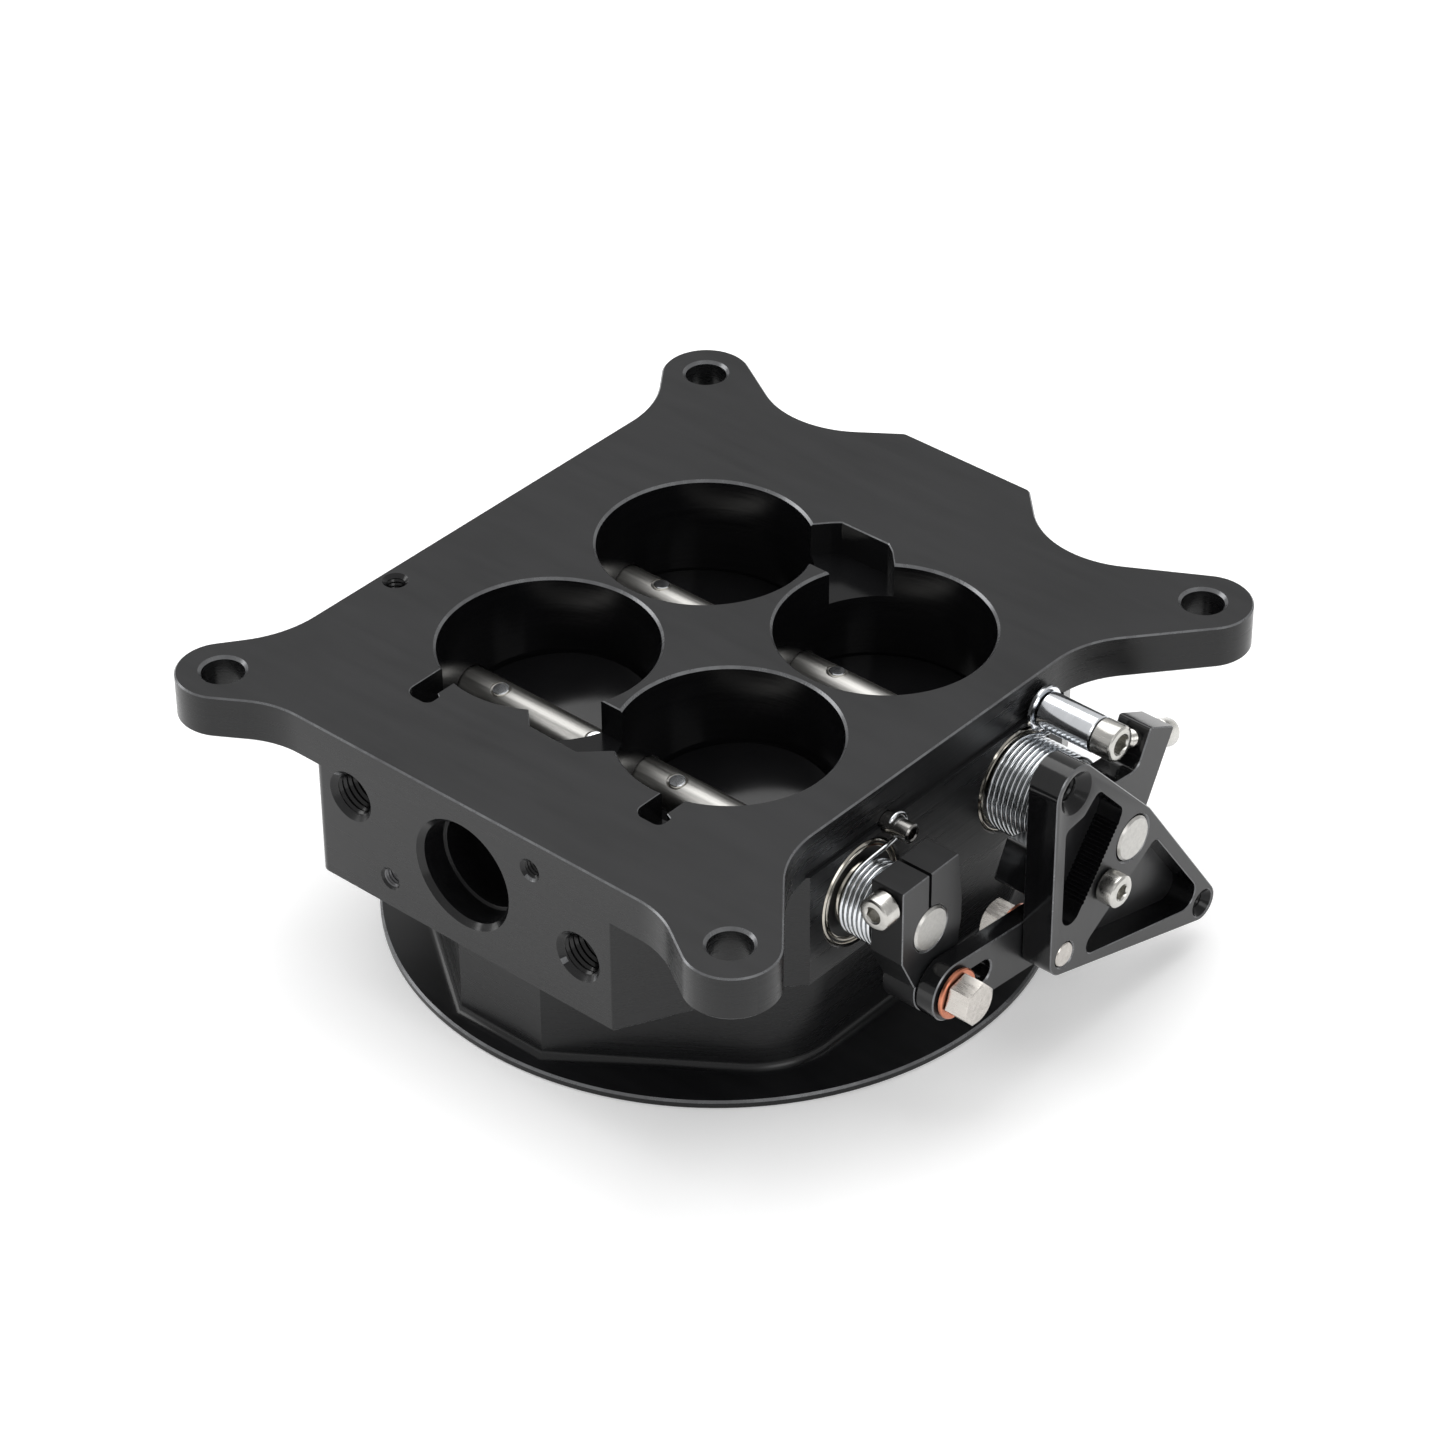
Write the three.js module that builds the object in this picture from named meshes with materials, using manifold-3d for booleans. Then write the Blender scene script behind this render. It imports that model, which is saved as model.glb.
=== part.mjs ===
// Four-barrel throttle body, standing on its air-cleaner ring with the manifold
// flange up.  Millimetres.  Origin: middle of the manifold face.  X runs along
// the two shafts toward the linkage, Y from the front ports to the back, Z up.
import * as THREE from 'three';
import { mergeVertices } from 'three/addons/utils/BufferGeometryUtils.js';
import Module from 'manifold-3d';

const wasm = await Module();
wasm.setup();

// ---- driving dimensions -------------------------------------------------
const GAP = 0.3;
const STUD_X = 65.5, STUD_Y = 71.4;            // manifold stud pattern, half pitch
const EAR_R = 9.4, STUD_HOLE_R = 4.35;
const FLANGE_T = 9.5;
const BORE_X = 23.5, BORE_Y = 23.3, BORE_R = 22.2;
const BLOCK_BOTTOM = -35.2, RING_TOP = -61.3, RING_BOTTOM = -63.3, RING_R = 69.1;
const WALL_X = 56.6;
const SHAFT_Y = 23.5, SHAFT_Z = -21.3, SHAFT_R = 4.765;
const PRIMARY_END = 85.9, SECONDARY_END = 74.0, SHAFT_LEFT = -62.5;
const BEARING_R = 11.05, BEARING_W = 6.7;
const BLADE_R = 21.9, BLADE_T = 1.5;
const PRIMARY_TILT = -5, SECONDARY_TILT = 10;  // degrees about X
const SCREW_X = [-BORE_X - 12.7, -BORE_X + 12.7, BORE_X - 12.7, BORE_X + 12.7];
const PIVOT_FRONT = [-22.0, -35.0];            // y, z
const PIVOT_REAR = [3.0, -37.6];
const LEVER_X = [78.6, 85.6], HUB_X = [70.5, 78.3], BAR_X = [74.1, 78.3], CLAMP_X = [65.9, 73.7];
const LEVER_TOP = [4.65, 0.25], LEVER_RIGHT = [48.3, -52.0], LEVER_SCREW = [15.1, -27.5];
const POST = [31.0, -7.6], POST_R = 3.9;
const PIN = [-15.7, -9.0], PIN_R = 2.05;
const CLAMP_SCREW = { x: 69.9, z: -12.6 };
const STOP_X = 74.4;

// ---- helpers --------------------------------------------------------------
const rad = (d) => d * Math.PI / 180;
function toManifold(geo) {
  const g = geo.clone();
  for (const k of Object.keys(g.attributes)) if (k !== 'position') g.deleteAttribute(k);
  const m = mergeVertices(g, 1e-5);
  const idx = [];
  const src = m.index.array;
  for (let i = 0; i < src.length; i += 3) {
    if (src[i] !== src[i + 1] && src[i + 1] !== src[i + 2] && src[i] !== src[i + 2]) idx.push(src[i], src[i + 1], src[i + 2]);
  }
  return new wasm.Manifold(new wasm.Mesh({
    numProp: 3,
    vertProperties: new Float32Array(m.attributes.position.array),
    triVerts: new Uint32Array(idx),
  }));
}
function toGeometry(man) {
  const m = man.getMesh();
  const g = new THREE.BufferGeometry();
  const n = m.vertProperties.length / m.numProp;
  const p = new Float32Array(n * 3);
  for (let i = 0; i < n; i++) for (let k = 0; k < 3; k++) p[i * 3 + k] = m.vertProperties[i * m.numProp + k];
  g.setAttribute('position', new THREE.BufferAttribute(p, 3));
  g.setIndex(new THREE.BufferAttribute(new Uint32Array(m.triVerts), 1));
  g.computeVertexNormals();
  return g;
}
const moved = (geo, matrix) => { geo.applyMatrix4(matrix); return geo; };
const AX = new THREE.Matrix4().set(0, 0, 1, 0, 1, 0, 0, 0, 0, 1, 0, 0, 0, 0, 0, 1);   // local xyz -> world Y Z X
const AY = new THREE.Matrix4().set(1, 0, 0, 0, 0, 0, -1, 0, 0, 1, 0, 0, 0, 0, 0, 1);  // local xyz -> world X Z -Y
// cylinder or cone along a world axis, c holds the two other coordinates in order
function cyl(axis, c, r, a0, a1, seg = 32, r2 = r) {
  const lo = Math.min(a0, a1), hi = Math.max(a0, a1);
  const g = new THREE.CylinderGeometry(r2, r, hi - lo, seg, 1);   // r at lo, r2 at hi, along local Y
  g.rotateX(Math.PI / 2);                                         // along local Z
  g.translate(0, 0, (lo + hi) / 2);
  if (axis === 'x') moved(g, new THREE.Matrix4().makeTranslation(0, c[0], c[1]).multiply(AX));
  else if (axis === 'z') g.translate(c[0], c[1], 0);
  else {
    g.applyMatrix4(new THREE.Matrix4().makeScale(1, 1, 1));
    g.rotateX(-Math.PI / 2);                                      // local Z -> +Y
    g.translate(c[0], 0, c[1]);
  }
  return toManifold(g);
}
// cylinder between two points
function rod(p, q, r, seg = 24, r2 = r) {
  const a = new THREE.Vector3(...p), b = new THREE.Vector3(...q);
  const d = b.clone().sub(a), L = d.length();
  const g = new THREE.CylinderGeometry(r2, r, L, seg, 1);
  g.translate(0, L / 2, 0);
  g.applyQuaternion(new THREE.Quaternion().setFromUnitVectors(new THREE.Vector3(0, 1, 0), d.normalize()));
  g.translate(a.x, a.y, a.z);
  return toManifold(g);
}
const box = (x0, x1, y0, y1, z0, z1) => {
  const g = new THREE.BoxGeometry(x1 - x0, y1 - y0, z1 - z0);
  g.translate((x0 + x1) / 2, (y0 + y1) / 2, (z0 + z1) / 2);
  return toManifold(g);
};
// polygon with a fillet radius at each corner, [[u, v, r], ...] -> points
function rounded(list, step = 18) {
  const out = [], n = list.length;
  for (let i = 0; i < n; i++) {
    const [px, py] = list[(i + n - 1) % n], [x, y, r = 0] = list[i], [nx, ny] = list[(i + 1) % n];
    if (r <= 0.01) { out.push([x, y]); continue; }
    const a = new THREE.Vector2(px - x, py - y).normalize(), b = new THREE.Vector2(nx - x, ny - y).normalize();
    const half = Math.acos(Math.max(-1, Math.min(1, a.dot(b)))) / 2;
    const t = r / Math.tan(half);
    const c = a.clone().add(b).normalize().multiplyScalar(r / Math.sin(half)).add(new THREE.Vector2(x, y));
    const s = new THREE.Vector2(x, y).addScaledVector(a, t), e = new THREE.Vector2(x, y).addScaledVector(b, t);
    let a0 = Math.atan2(s.y - c.y, s.x - c.x), a1 = Math.atan2(e.y - c.y, e.x - c.x);
    let d = a1 - a0;
    while (d > Math.PI) d -= 2 * Math.PI;
    while (d < -Math.PI) d += 2 * Math.PI;
    const k = Math.max(1, Math.ceil(Math.abs(d) / rad(step)));
    for (let j = 0; j <= k; j++) out.push([c.x + r * Math.cos(a0 + d * j / k), c.y + r * Math.sin(a0 + d * j / k)]);
  }
  return out;
}
function hull(points) {
  const p = points.slice().sort((a, b) => a[0] - b[0] || a[1] - b[1]);
  const cross = (o, a, b) => (a[0] - o[0]) * (b[1] - o[1]) - (a[1] - o[1]) * (b[0] - o[0]);
  const half = (l) => {
    const h = [];
    for (const q of l) { while (h.length > 1 && cross(h[h.length - 2], h[h.length - 1], q) <= 1e-9) h.pop(); h.push(q); }
    h.pop();
    return h;
  };
  return half(p).concat(half(p.reverse()));
}
const circlePoints = (c, r, seg = 24) => Array.from({ length: seg }, (_, i) => [c[0] + r * Math.cos(2 * Math.PI * i / seg), c[1] + r * Math.sin(2 * Math.PI * i / seg)]);
function extrude(points, lo, hi, axis) {
  const s = new THREE.Shape(points.map((p) => new THREE.Vector2(p[0], p[1])));
  const g = new THREE.ExtrudeGeometry(s, { depth: hi - lo, bevelEnabled: false, steps: 1 });
  g.translate(0, 0, lo);
  if (axis === 'x') g.applyMatrix4(AX);
  if (axis === 'y') { g.translate(0, 0, -(lo + hi)); g.applyMatrix4(AY); }
  return toManifold(g);
}
const hexPoints = (c, flat, turn = 0) => Array.from({ length: 6 }, (_, i) => [c[0] + flat / Math.cos(Math.PI / 6) * Math.cos(turn + i * Math.PI / 3), c[1] + flat / Math.cos(Math.PI / 6) * Math.sin(turn + i * Math.PI / 3)]);
const union = (list) => list.reduce((a, b) => a.add(b));
const cut = (a, list) => list.reduce((m, b) => m.subtract(b), a);

// ---- materials ----------------------------------------------------------------
const mat = (c, r, m) => new THREE.MeshStandardMaterial({ color: c, roughness: r, metalness: m });
const black = mat(0x3a3b3e, 0.42, 0.6), blackLever = mat(0x46474a, 0.38, 0.6), dark = mat(0x2b2c2e, 0.5, 0.4);
const steel = mat(0xd9d9d6, 0.25, 1), zinc = mat(0xe6e7e8, 0.22, 1), copper = mat(0xc98a66, 0.35, 1), race = mat(0xc9c6bd, 0.25, 1);

const assembly = new THREE.Group();
function add(name, man, material) {
  const mesh = new THREE.Mesh(toGeometry(man), material);
  mesh.name = name;
  assembly.add(mesh);
}

// ---- housing -----------------------------------------------------------------------
// corner of the two tangent lines of an ear circle
function earCorner(e, n1, n2) {
  const det = n1[0] * n2[1] - n1[1] * n2[0];
  return [e[0] + (EAR_R * n2[1] - EAR_R * n1[1]) / det, e[1] + (n1[0] * EAR_R - n2[0] * EAR_R) / det, EAR_R];
}
const earA = [-STUD_X, STUD_Y], earB = [-STUD_X, -STUD_Y], earC = [STUD_X, -STUD_Y], earD = [STUD_X, STUD_Y];
const flangeOutline = rounded([
  earCorner(earB, [-0.802, 0.598], [0.530, -0.848]),
  [-49.9, -72.8, 20],
  [49.9, -72.8, 20],
  earCorner(earC, [-0.530, -0.848], [0.764, 0.645]),
  [55.9, -44.9, 22],
  [55.9, 44.9, 22],
  earCorner(earD, [0.764, -0.645], [-0.497, 0.868]),
  [31.9, 63.0, 21],
  [14.7, 80.5, 2],
  [-18.3, 80.5, 2],
  [-37.9, 66.2, 21.5],
  earCorner(earA, [0.503, 0.864], [-0.802, -0.598]),
  [-65.0, 55.0, 24],
  [-65.0, -55.0, 24],
], 20);
const blockOutline = rounded([
  [-39.2, -72.8, 2.5], [37.3, -72.8, 0.6], [53.4, -42, 0], [WALL_X, -38.5, 0], [WALL_X, 38.5, 0], [53.4, 42, 0],
  [45, 57, 8], [20, 61, 4], [-20, 61, 4], [-45, 57, 8], [-53.4, 42, 0], [-WALL_X, 38.5, 0], [-WALL_X, -38.5, 0], [-53.4, -42, 0],
]);
const lowerOutline = rounded([
  [-11, -64.5, 0], [10.5, -64.5, 0], [50.5, -36.1, 19], [50.5, 36.1, 19], [10.5, 64.5, 0], [-11, 64.5, 0], [-50.5, 36.1, 19], [-50.5, -36.1, 19],
]);
let housing = union([
  extrude(flangeOutline, -FLANGE_T, 0, 'z'),
  extrude(blockOutline, BLOCK_BOTTOM, -FLANGE_T + 0.5, 'z'),
  box(-17, 13.4, 50, 79.8, -25, -FLANGE_T + 0.5),
  extrude(lowerOutline, RING_TOP - 0.5, BLOCK_BOTTOM + 0.5, 'z'),
  cyl('z', [0, 0], RING_R, RING_BOTTOM, RING_TOP, 60),
]);
const cuts = [];
for (const sx of [-1, 1]) for (const sy of [-1, 1]) {
  cuts.push(cyl('z', [sx * BORE_X, sy * BORE_Y], BORE_R, -70, 5, 40));
  cuts.push(cyl('z', [sx * STUD_X, sy * STUD_Y], STUD_HOLE_R, -12, 2, 20));
  cuts.push(cyl('z', [sx * BORE_X, sy * BORE_Y], BORE_R + 2.2, RING_BOTTOM - 0.01, RING_BOTTOM + 3.5, 40, BORE_R - 0.01));
}
cuts.push(extrude([[-12, 31], [12, 31], [12, 40.4], [7.5, 45], [5.3, 46.5], [-7, 46.4], [-8.5, 45], [-12, 41]], -7.7, 2, 'z'));
cuts.push(extrude([[-12, -31], [-12, -41.6], [-7.5, -46], [5, -46.3], [9.5, -42], [12, -40], [12, -31]], -7.7, 2, 'z'));
cuts.push(extrude(rounded([[-33.5, -41, 0], [-33.5, -53.7, 2.5], [-27.2, -53.7, 1.5], [-27.2, -50.5, 0.5], [-28.3, -49.8, 0], [-28.3, -41, 0]]), -6.5, 2, 'z'));
cuts.push(extrude(rounded([[25.8, -41, 0], [25.8, -53.7, 2.5], [32.6, -53.7, 1.5], [32.6, -50.5, 0.5], [31.0, -49.8, 0], [31.0, -41, 0]]), -6.5, 2, 'z'));
cuts.push(cyl('z', [-61.3, -27.5], 2.2, -12, 2, 14));
for (const s of [-1, 1]) {
  cuts.push(cyl('x', [s * SHAFT_Y, SHAFT_Z], SHAFT_R + GAP, -60, 60, 20));
  for (const e of [-1, 1]) cuts.push(cyl('x', [s * SHAFT_Y, SHAFT_Z], BEARING_R + GAP, e * (WALL_X - BEARING_W - GAP), e * 60, 28));
}
// front face: central chamber and the two side ports, then the small tapped holes
cuts.push(cyl('y', [-0.8, -17.2], 11.0, -80, -58, 32), cyl('y', [-0.8, -17.2], 7.0, -60, -49, 24));
cuts.push(cyl('y', [-30.2, -12.9], 4.4, -80, -55, 18), cyl('y', [28.8, -21.5], 4.4, -80, -55, 18));
cuts.push(cyl('y', [17, -7.0], 1.9, -80, -64, 12), cyl('y', [-20.5, -28], 1.9, -80, -64, 12));
cuts.push(cyl('y', [-1.8, -16.5], 5.6, 66, 90, 20));                         // back port
cuts.push(cyl('z', [0, 0], 3.2, -70, -42, 16));                              // air-cleaner stud hole
cuts.push(cyl('x', POST, 2.6, 46, 60, 14), cyl('x', PIN, PIN_R + GAP, 49.5, 60, 14));
housing = cut(housing, cuts);
add('housing', housing, black);

// ---- bearings, shafts, blades, screws -------------------------------------------
for (const [tag, s] of [['primary', 1], ['secondary', -1]]) {
  for (const [side, e] of [['right', 1], ['left', -1]]) {
    const b = cyl('x', [s * SHAFT_Y, SHAFT_Z], BEARING_R, e * (WALL_X - BEARING_W), e * WALL_X, 28)
      .subtract(cyl('x', [s * SHAFT_Y, SHAFT_Z], SHAFT_R + GAP, -60, 60, 20));
    add(`${tag}_bearing_${side}`, b, race);
  }
}
function shaftLine(tag, y, end, tilt) {
  const t = rad(tilt);
  const up = [-Math.sin(t), Math.cos(t)];                // normal of the blade plane, in y and z
  const out = [Math.cos(t), Math.sin(t)];                // in the blade plane, across the shaft
  const at = (x, a, b) => [x, y + a * out[0] + b * up[0], SHAFT_Z + a * out[1] + b * up[1]];
  let shaft = cyl('x', [y, SHAFT_Z], SHAFT_R, SHAFT_LEFT, end, 20);
  const slots = [], holes = [];
  for (const sx of [-1, 1]) {
    const slot = box(sx * BORE_X - BLADE_R - GAP, sx * BORE_X + BLADE_R + GAP, -7, 7, -BLADE_T / 2 - GAP, BLADE_T / 2 + GAP)
      .rotate([tilt, 0, 0]).translate([0, y, SHAFT_Z]);
    slots.push(slot);
  }
  for (const x of SCREW_X) holes.push(rod(at(x, 0, -7), at(x, 0, 7), 1.6 + GAP, 10));
  slots.push(cyl('x', [y, SHAFT_Z], 9, -58.6, -56.9, 20).subtract(cyl('x', [y, SHAFT_Z], 3.9, -60, -55, 20)));
  add(`${tag}_shaft`, cut(shaft, slots.concat(holes)), steel);
  for (const [side, sx] of [['left', -1], ['right', 1]]) {
    const disc = rod(at(sx * BORE_X, 0, -BLADE_T / 2), at(sx * BORE_X, 0, BLADE_T / 2), BLADE_R, 36);
    add(`${tag}_blade_${side}`, cut(disc, holes), dark);
  }
  SCREW_X.forEach((x, i) => {
    const s = union([rod(at(x, 0, -5.2), at(x, 0, 5.0), 1.6, 10), rod(at(x, 0, -6.9), at(x, 0, -5.1), 2.9, 12, 2.9),
      rod(at(x, 0, 4.95), at(x, 0, 5.7), 2.0, 10, 1.4)]);
    add(`${tag}_blade_screw_${i + 1}`, s, steel);
  });
  const ring = cyl('x', [y, SHAFT_Z], 7.3, -58.3, -57.2, 20).subtract(cyl('x', [y, SHAFT_Z], 4.2, -60, -55, 20))
    .subtract(box(-60, -55, y - 1.5, y + 1.5, SHAFT_Z - 12, SHAFT_Z - 2));
  add(`${tag}_retaining_ring`, ring, dark);
}
shaftLine('primary', SHAFT_Y, PRIMARY_END, PRIMARY_TILT);
shaftLine('secondary', -SHAFT_Y, SECONDARY_END, SECONDARY_TILT);

// ---- torsion springs: hooked leg, coils, axial tail -------------------------------
function spring(name, centre, hookAt, hookR, coilR, wire, x0, x1, turns, endDeg, leg, hookX) {
  const [cy, cz] = centre;
  const dy = hookAt[0] - cy, dz = hookAt[1] - cz, reach = coilR + hookR;
  const alpha = Math.acos(reach / Math.hypot(dy, dz)) - Math.atan2(dy, dz);
  const start = alpha + Math.PI / 2;
  let end = rad(endDeg);
  while (end < start + turns * 2 * Math.PI) end += 2 * Math.PI;
  const pts = [];
  // hook: round the far side of the post or pin, then in under it
  const px = hookX;
  const h = [Math.cos(alpha), Math.sin(alpha)], n = [-Math.sin(alpha), Math.cos(alpha)];
  for (let k = 0; k <= 4; k++) {
    const a = alpha - Math.PI / 2 + rad(leg) * (1 - k / 4);
    pts.push([px, hookAt[0] + hookR * Math.cos(a), hookAt[1] + hookR * Math.sin(a)]);
  }
  const tail = [cy + coilR * n[0], cz + coilR * n[1]];
  const last = pts[pts.length - 1];
  for (const q of [0.35, 0.7]) pts.push([px + (x0 - px) * q, last[1] + (tail[0] - last[1]) * q, last[2] + (tail[1] - last[2]) * q]);
  const steps = Math.ceil((end - start) / (2 * Math.PI) * 12);
  for (let k = 0; k <= steps; k++) {
    const a = start + (end - start) * k / steps;
    pts.push([x0 + (x1 - x0) * k / steps, cy + coilR * Math.cos(a), cz + coilR * Math.sin(a)]);
  }
  const lastA = end;
  pts.push([x1 + wire * 1.2, cy + coilR * Math.cos(lastA + 0.06), cz + coilR * Math.sin(lastA + 0.06)]);
  pts.push([x1 + 2.6, cy + coilR * Math.cos(lastA + 0.06), cz + coilR * Math.sin(lastA + 0.06)]);
  // sweep a six-sided wire section along the points
  const v = pts.map((p) => new THREE.Vector3(...p));
  const path = new THREE.CurvePath();
  for (let i = 0; i + 1 < v.length; i++) path.add(new THREE.LineCurve3(v[i], v[i + 1]));
  const pos = [], index = [], sides = 6;
  let ref = new THREE.Vector3(1, 0, 0);
  v.forEach((p, i) => {
    const a = v[Math.max(0, i - 1)], b = v[Math.min(v.length - 1, i + 1)];
    const t = b.clone().sub(a).normalize();
    ref = ref.clone().sub(t.clone().multiplyScalar(ref.dot(t)));
    if (ref.length() < 1e-3) ref = new THREE.Vector3(0, 1, 0).cross(t);
    ref.normalize();
    const w = t.clone().cross(ref);
    for (let k = 0; k < sides; k++) {
      const c = Math.cos(2 * Math.PI * k / sides), s = Math.sin(2 * Math.PI * k / sides);
      pos.push(p.x + wire * (c * ref.x + s * w.x), p.y + wire * (c * ref.y + s * w.y), p.z + wire * (c * ref.z + s * w.z));
    }
  });
  for (let i = 0; i + 1 < v.length; i++) for (let k = 0; k < sides; k++) {
    const a = i * sides + k, b = i * sides + (k + 1) % sides, c = a + sides, d = b + sides;
    index.push(a, b, d, a, d, c);
  }
  const e = (v.length - 1) * sides;
  for (let k = 1; k + 1 < sides; k++) { index.push(0, k + 1, k); index.push(e, e + k, e + k + 1); }
  const g = new THREE.BufferGeometry();
  g.setAttribute('position', new THREE.BufferAttribute(new Float32Array(pos), 3));
  g.setIndex(index);
  g.computeVertexNormals();
  const mesh = new THREE.Mesh(g, zinc);
  mesh.name = name;
  assembly.add(mesh);
  return [cy + coilR * Math.cos(lastA + 0.06), cz + coilR * Math.sin(lastA + 0.06)];
}
const tailP = spring('primary_return_spring', [SHAFT_Y, SHAFT_Z], POST, POST_R + 0.86, 9.8, 0.5, 57.4, 69.7, 10, -60, 80, 59.2);
const tailS = spring('secondary_return_spring', [-SHAFT_Y, SHAFT_Z], PIN, PIN_R + 0.84, 7.6, 0.5, 57.7, 65.1, 5.9, -60, 80, 58.6);

// ---- stop post, its washer and screw, spring anchor pin ------------------------------
add('stop_post_washer', cyl('x', POST, 4.85, WALL_X + GAP, 58.1, 24).subtract(cyl('x', POST, 2.55, 50, 60, 14)), zinc);
add('stop_post', cyl('x', POST, POST_R, 58.4, 71.2, 24).subtract(cyl('x', POST, 2.55, 50, 80, 14)), zinc);
add('stop_post_screw', cut(union([cyl('x', POST, 3.85, 71.5, 76.4, 24), cyl('x', POST, 2.2, 46.5, 71.6, 14)]),
  [extrude(hexPoints(POST, 1.95), 73.9, 78, 'x')]), steel);
add('spring_anchor_pin', cut(cyl('x', PIN, PIN_R, 50, 62.8, 18), [cyl('x', PIN, 1.35, 60.2, 64, 12)]), zinc);

// ---- primary lever, hub, stop screw ---------------------------------------------------
const leverOutline = hull([].concat(circlePoints(LEVER_TOP, 5.9), circlePoints([SHAFT_Y, SHAFT_Z], 6.8), circlePoints(LEVER_RIGHT, 4.0), circlePoints(PIVOT_REAR, 4.4)));
const POCKET_X = 80.1;
let lever = extrude(leverOutline, LEVER_X[0], LEVER_X[1], 'x');
lever = cut(lever, [
  extrude(rounded([[1.8, -7.4, 1.5], [1.7, -36.7, 2.9], [20.2, -12.3, 2.2], [11.8, -3.0, 1.6], [7.4, -6.7, 2]]), POCKET_X, 90, 'x'),
  extrude(rounded([[6.4, -41.0, 2.4], [50.3, -52.4, 3.3], [31.2, -25.6, 1.8]]), POCKET_X, 90, 'x'),
  cyl('x', [SHAFT_Y, SHAFT_Z], SHAFT_R + GAP, 70, 90, 24),
  cyl('x', LEVER_TOP, 2.6, 70, 90, 16), cyl('x', LEVER_TOP, 2.6, LEVER_X[1] - 2.0, LEVER_X[1] + 0.01, 20, 4.6),
  cyl('x', LEVER_RIGHT, 2.1, 70, 90, 14), cyl('x', LEVER_RIGHT, 2.1, LEVER_X[1] - 1.5, LEVER_X[1] + 0.01, 16, 3.3),
  cyl('x', PIVOT_REAR, 2.9, 70, 90, 16),
  cyl('x', LEVER_SCREW, 2.25, 70, 90, 14),
]);
add('primary_lever', lever, blackLever);
add('lever_cap_screw', cut(union([cyl('x', LEVER_SCREW, 3.5, LEVER_X[1] + GAP, 89.8, 22), cyl('x', LEVER_SCREW, 1.95, 72.2, 86.0, 14)]),
  [extrude(hexPoints(LEVER_SCREW, 1.5), 87.8, 92, 'x')]), steel);

const stopDir = [0.917, -0.399];                                      // from the post toward the screw's outer end
const stopAt = (d) => [STOP_X, POST[0] + stopDir[0] * d, POST[1] + stopDir[1] * d];
const hubOutline = rounded([
  [38.0, -6.5, 0.6], [34.2, -14.4, 3.0], [27.0, -13.6, 3], [14.6, -20.4, 2], [3.3, -16.7, 0.6], [-0.6, -24.7, 0.6], [11.8, -31.0, 2], [14.6, -35.8, 2.5],
  [24.0, -36.2, 3], [37.2, -26.5, 4], [45.7, -10.3, 0.6],
]);
let hub = extrude(hubOutline, HUB_X[0], HUB_X[1], 'x');
hub = cut(hub, [
  cyl('x', [SHAFT_Y, SHAFT_Z], SHAFT_R + GAP, 60, 90, 24),
  cyl('x', LEVER_SCREW, 2.25, 60, 90, 14),
  rod(stopAt(3), stopAt(24), 2.0 + GAP, 14),
  cyl('x', tailP, 0.5 + 0.35, 69, 73.4, 10),
]);
add('stop_hub', hub, blackLever);
add('idle_stop_screw', cut(union([rod(stopAt(POST_R + GAP), stopAt(16.0), 2.0, 16), rod(stopAt(15.9), stopAt(19.9), 2.95, 22)]), [rod(stopAt(18.0), stopAt(22), 1.5, 6)]), steel);

// ---- secondary lever, clamp screw, link bar and its bolts -------------------------------
let clamp = union([
  extrude([[-31.9, -8.4], [-31.9, -25.2], [-28.0, -33.2], [-15.9, -34.4], [-14.1, -24], [-14.1, -19], [-15.4, -8.2]], CLAMP_X[0], CLAMP_X[1], 'x'),
  cyl('x', PIVOT_FRONT, 6.2, CLAMP_X[0], CLAMP_X[1], 24),
]);
clamp = cut(clamp, [
  cyl('x', [-SHAFT_Y, SHAFT_Z], SHAFT_R + GAP, 60, 90, 24),
  box(60, 80, -24.3, -23.5, -20, 0),
  cyl('y', [CLAMP_SCREW.x, CLAMP_SCREW.z], 2.3, -40, -10, 14),
  cyl('x', PIVOT_FRONT, 2.3, 60, 80, 14),
  cyl('x', tailS, 0.5 + 0.35, 60, 68.8, 10),
]);
add('secondary_lever', clamp, blackLever);
add('clamp_screw', cut(union([cyl('y', [CLAMP_SCREW.x, CLAMP_SCREW.z], 3.45, -36.2, -32.2, 22), cyl('y', [CLAMP_SCREW.x, CLAMP_SCREW.z], 2.0, -32.3, -16.0, 14)]),
  [extrude(hexPoints([CLAMP_SCREW.x, CLAMP_SCREW.z], 1.5), -38, -34.2, 'y')]), steel);

const ux = PIVOT_REAR[0] - PIVOT_FRONT[0], uz = PIVOT_REAR[1] - PIVOT_FRONT[1], L = Math.hypot(ux, uz);
const slotEnd = [PIVOT_FRONT[0] + ux / L * 9, PIVOT_FRONT[1] + uz / L * 9];
let bar = extrude(hull([].concat(circlePoints(PIVOT_FRONT, 6.2), circlePoints(PIVOT_REAR, 6.2))), BAR_X[0], BAR_X[1], 'x');
bar = cut(bar, [
  extrude(hull([].concat(circlePoints(PIVOT_FRONT, 2.6, 16), circlePoints(slotEnd, 2.6, 16))), 70, 80, 'x'),
  cyl('x', PIVOT_REAR, 2.9, 70, 80, 16),
]);
add('link_bar', bar, blackLever);
add('copper_washer_front', cyl('x', PIVOT_FRONT, 5.3, 78.6, 79.6, 24).subtract(cyl('x', PIVOT_FRONT, 2.6, 70, 90, 16)), copper);
add('link_bolt_front', union([extrude(hexPoints(PIVOT_FRONT, 4.0, 0.2), 79.9, 84.6, 'x'), cyl('x', PIVOT_FRONT, 2.25, 78.7, 80, 14)]), zinc);
add('copper_washer_rear', cyl('x', PIVOT_REAR, 5.3, 72.7, 73.8, 24).subtract(cyl('x', PIVOT_REAR, 2.9, 70, 90, 16)), copper);
add('link_bolt_rear', union([extrude(hexPoints(PIVOT_REAR, 4.0, 0.2), 67.9, 72.4, 'x'), cyl('x', PIVOT_REAR, 2.6, 72.3, LEVER_X[1], 18)]), zinc);

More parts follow.
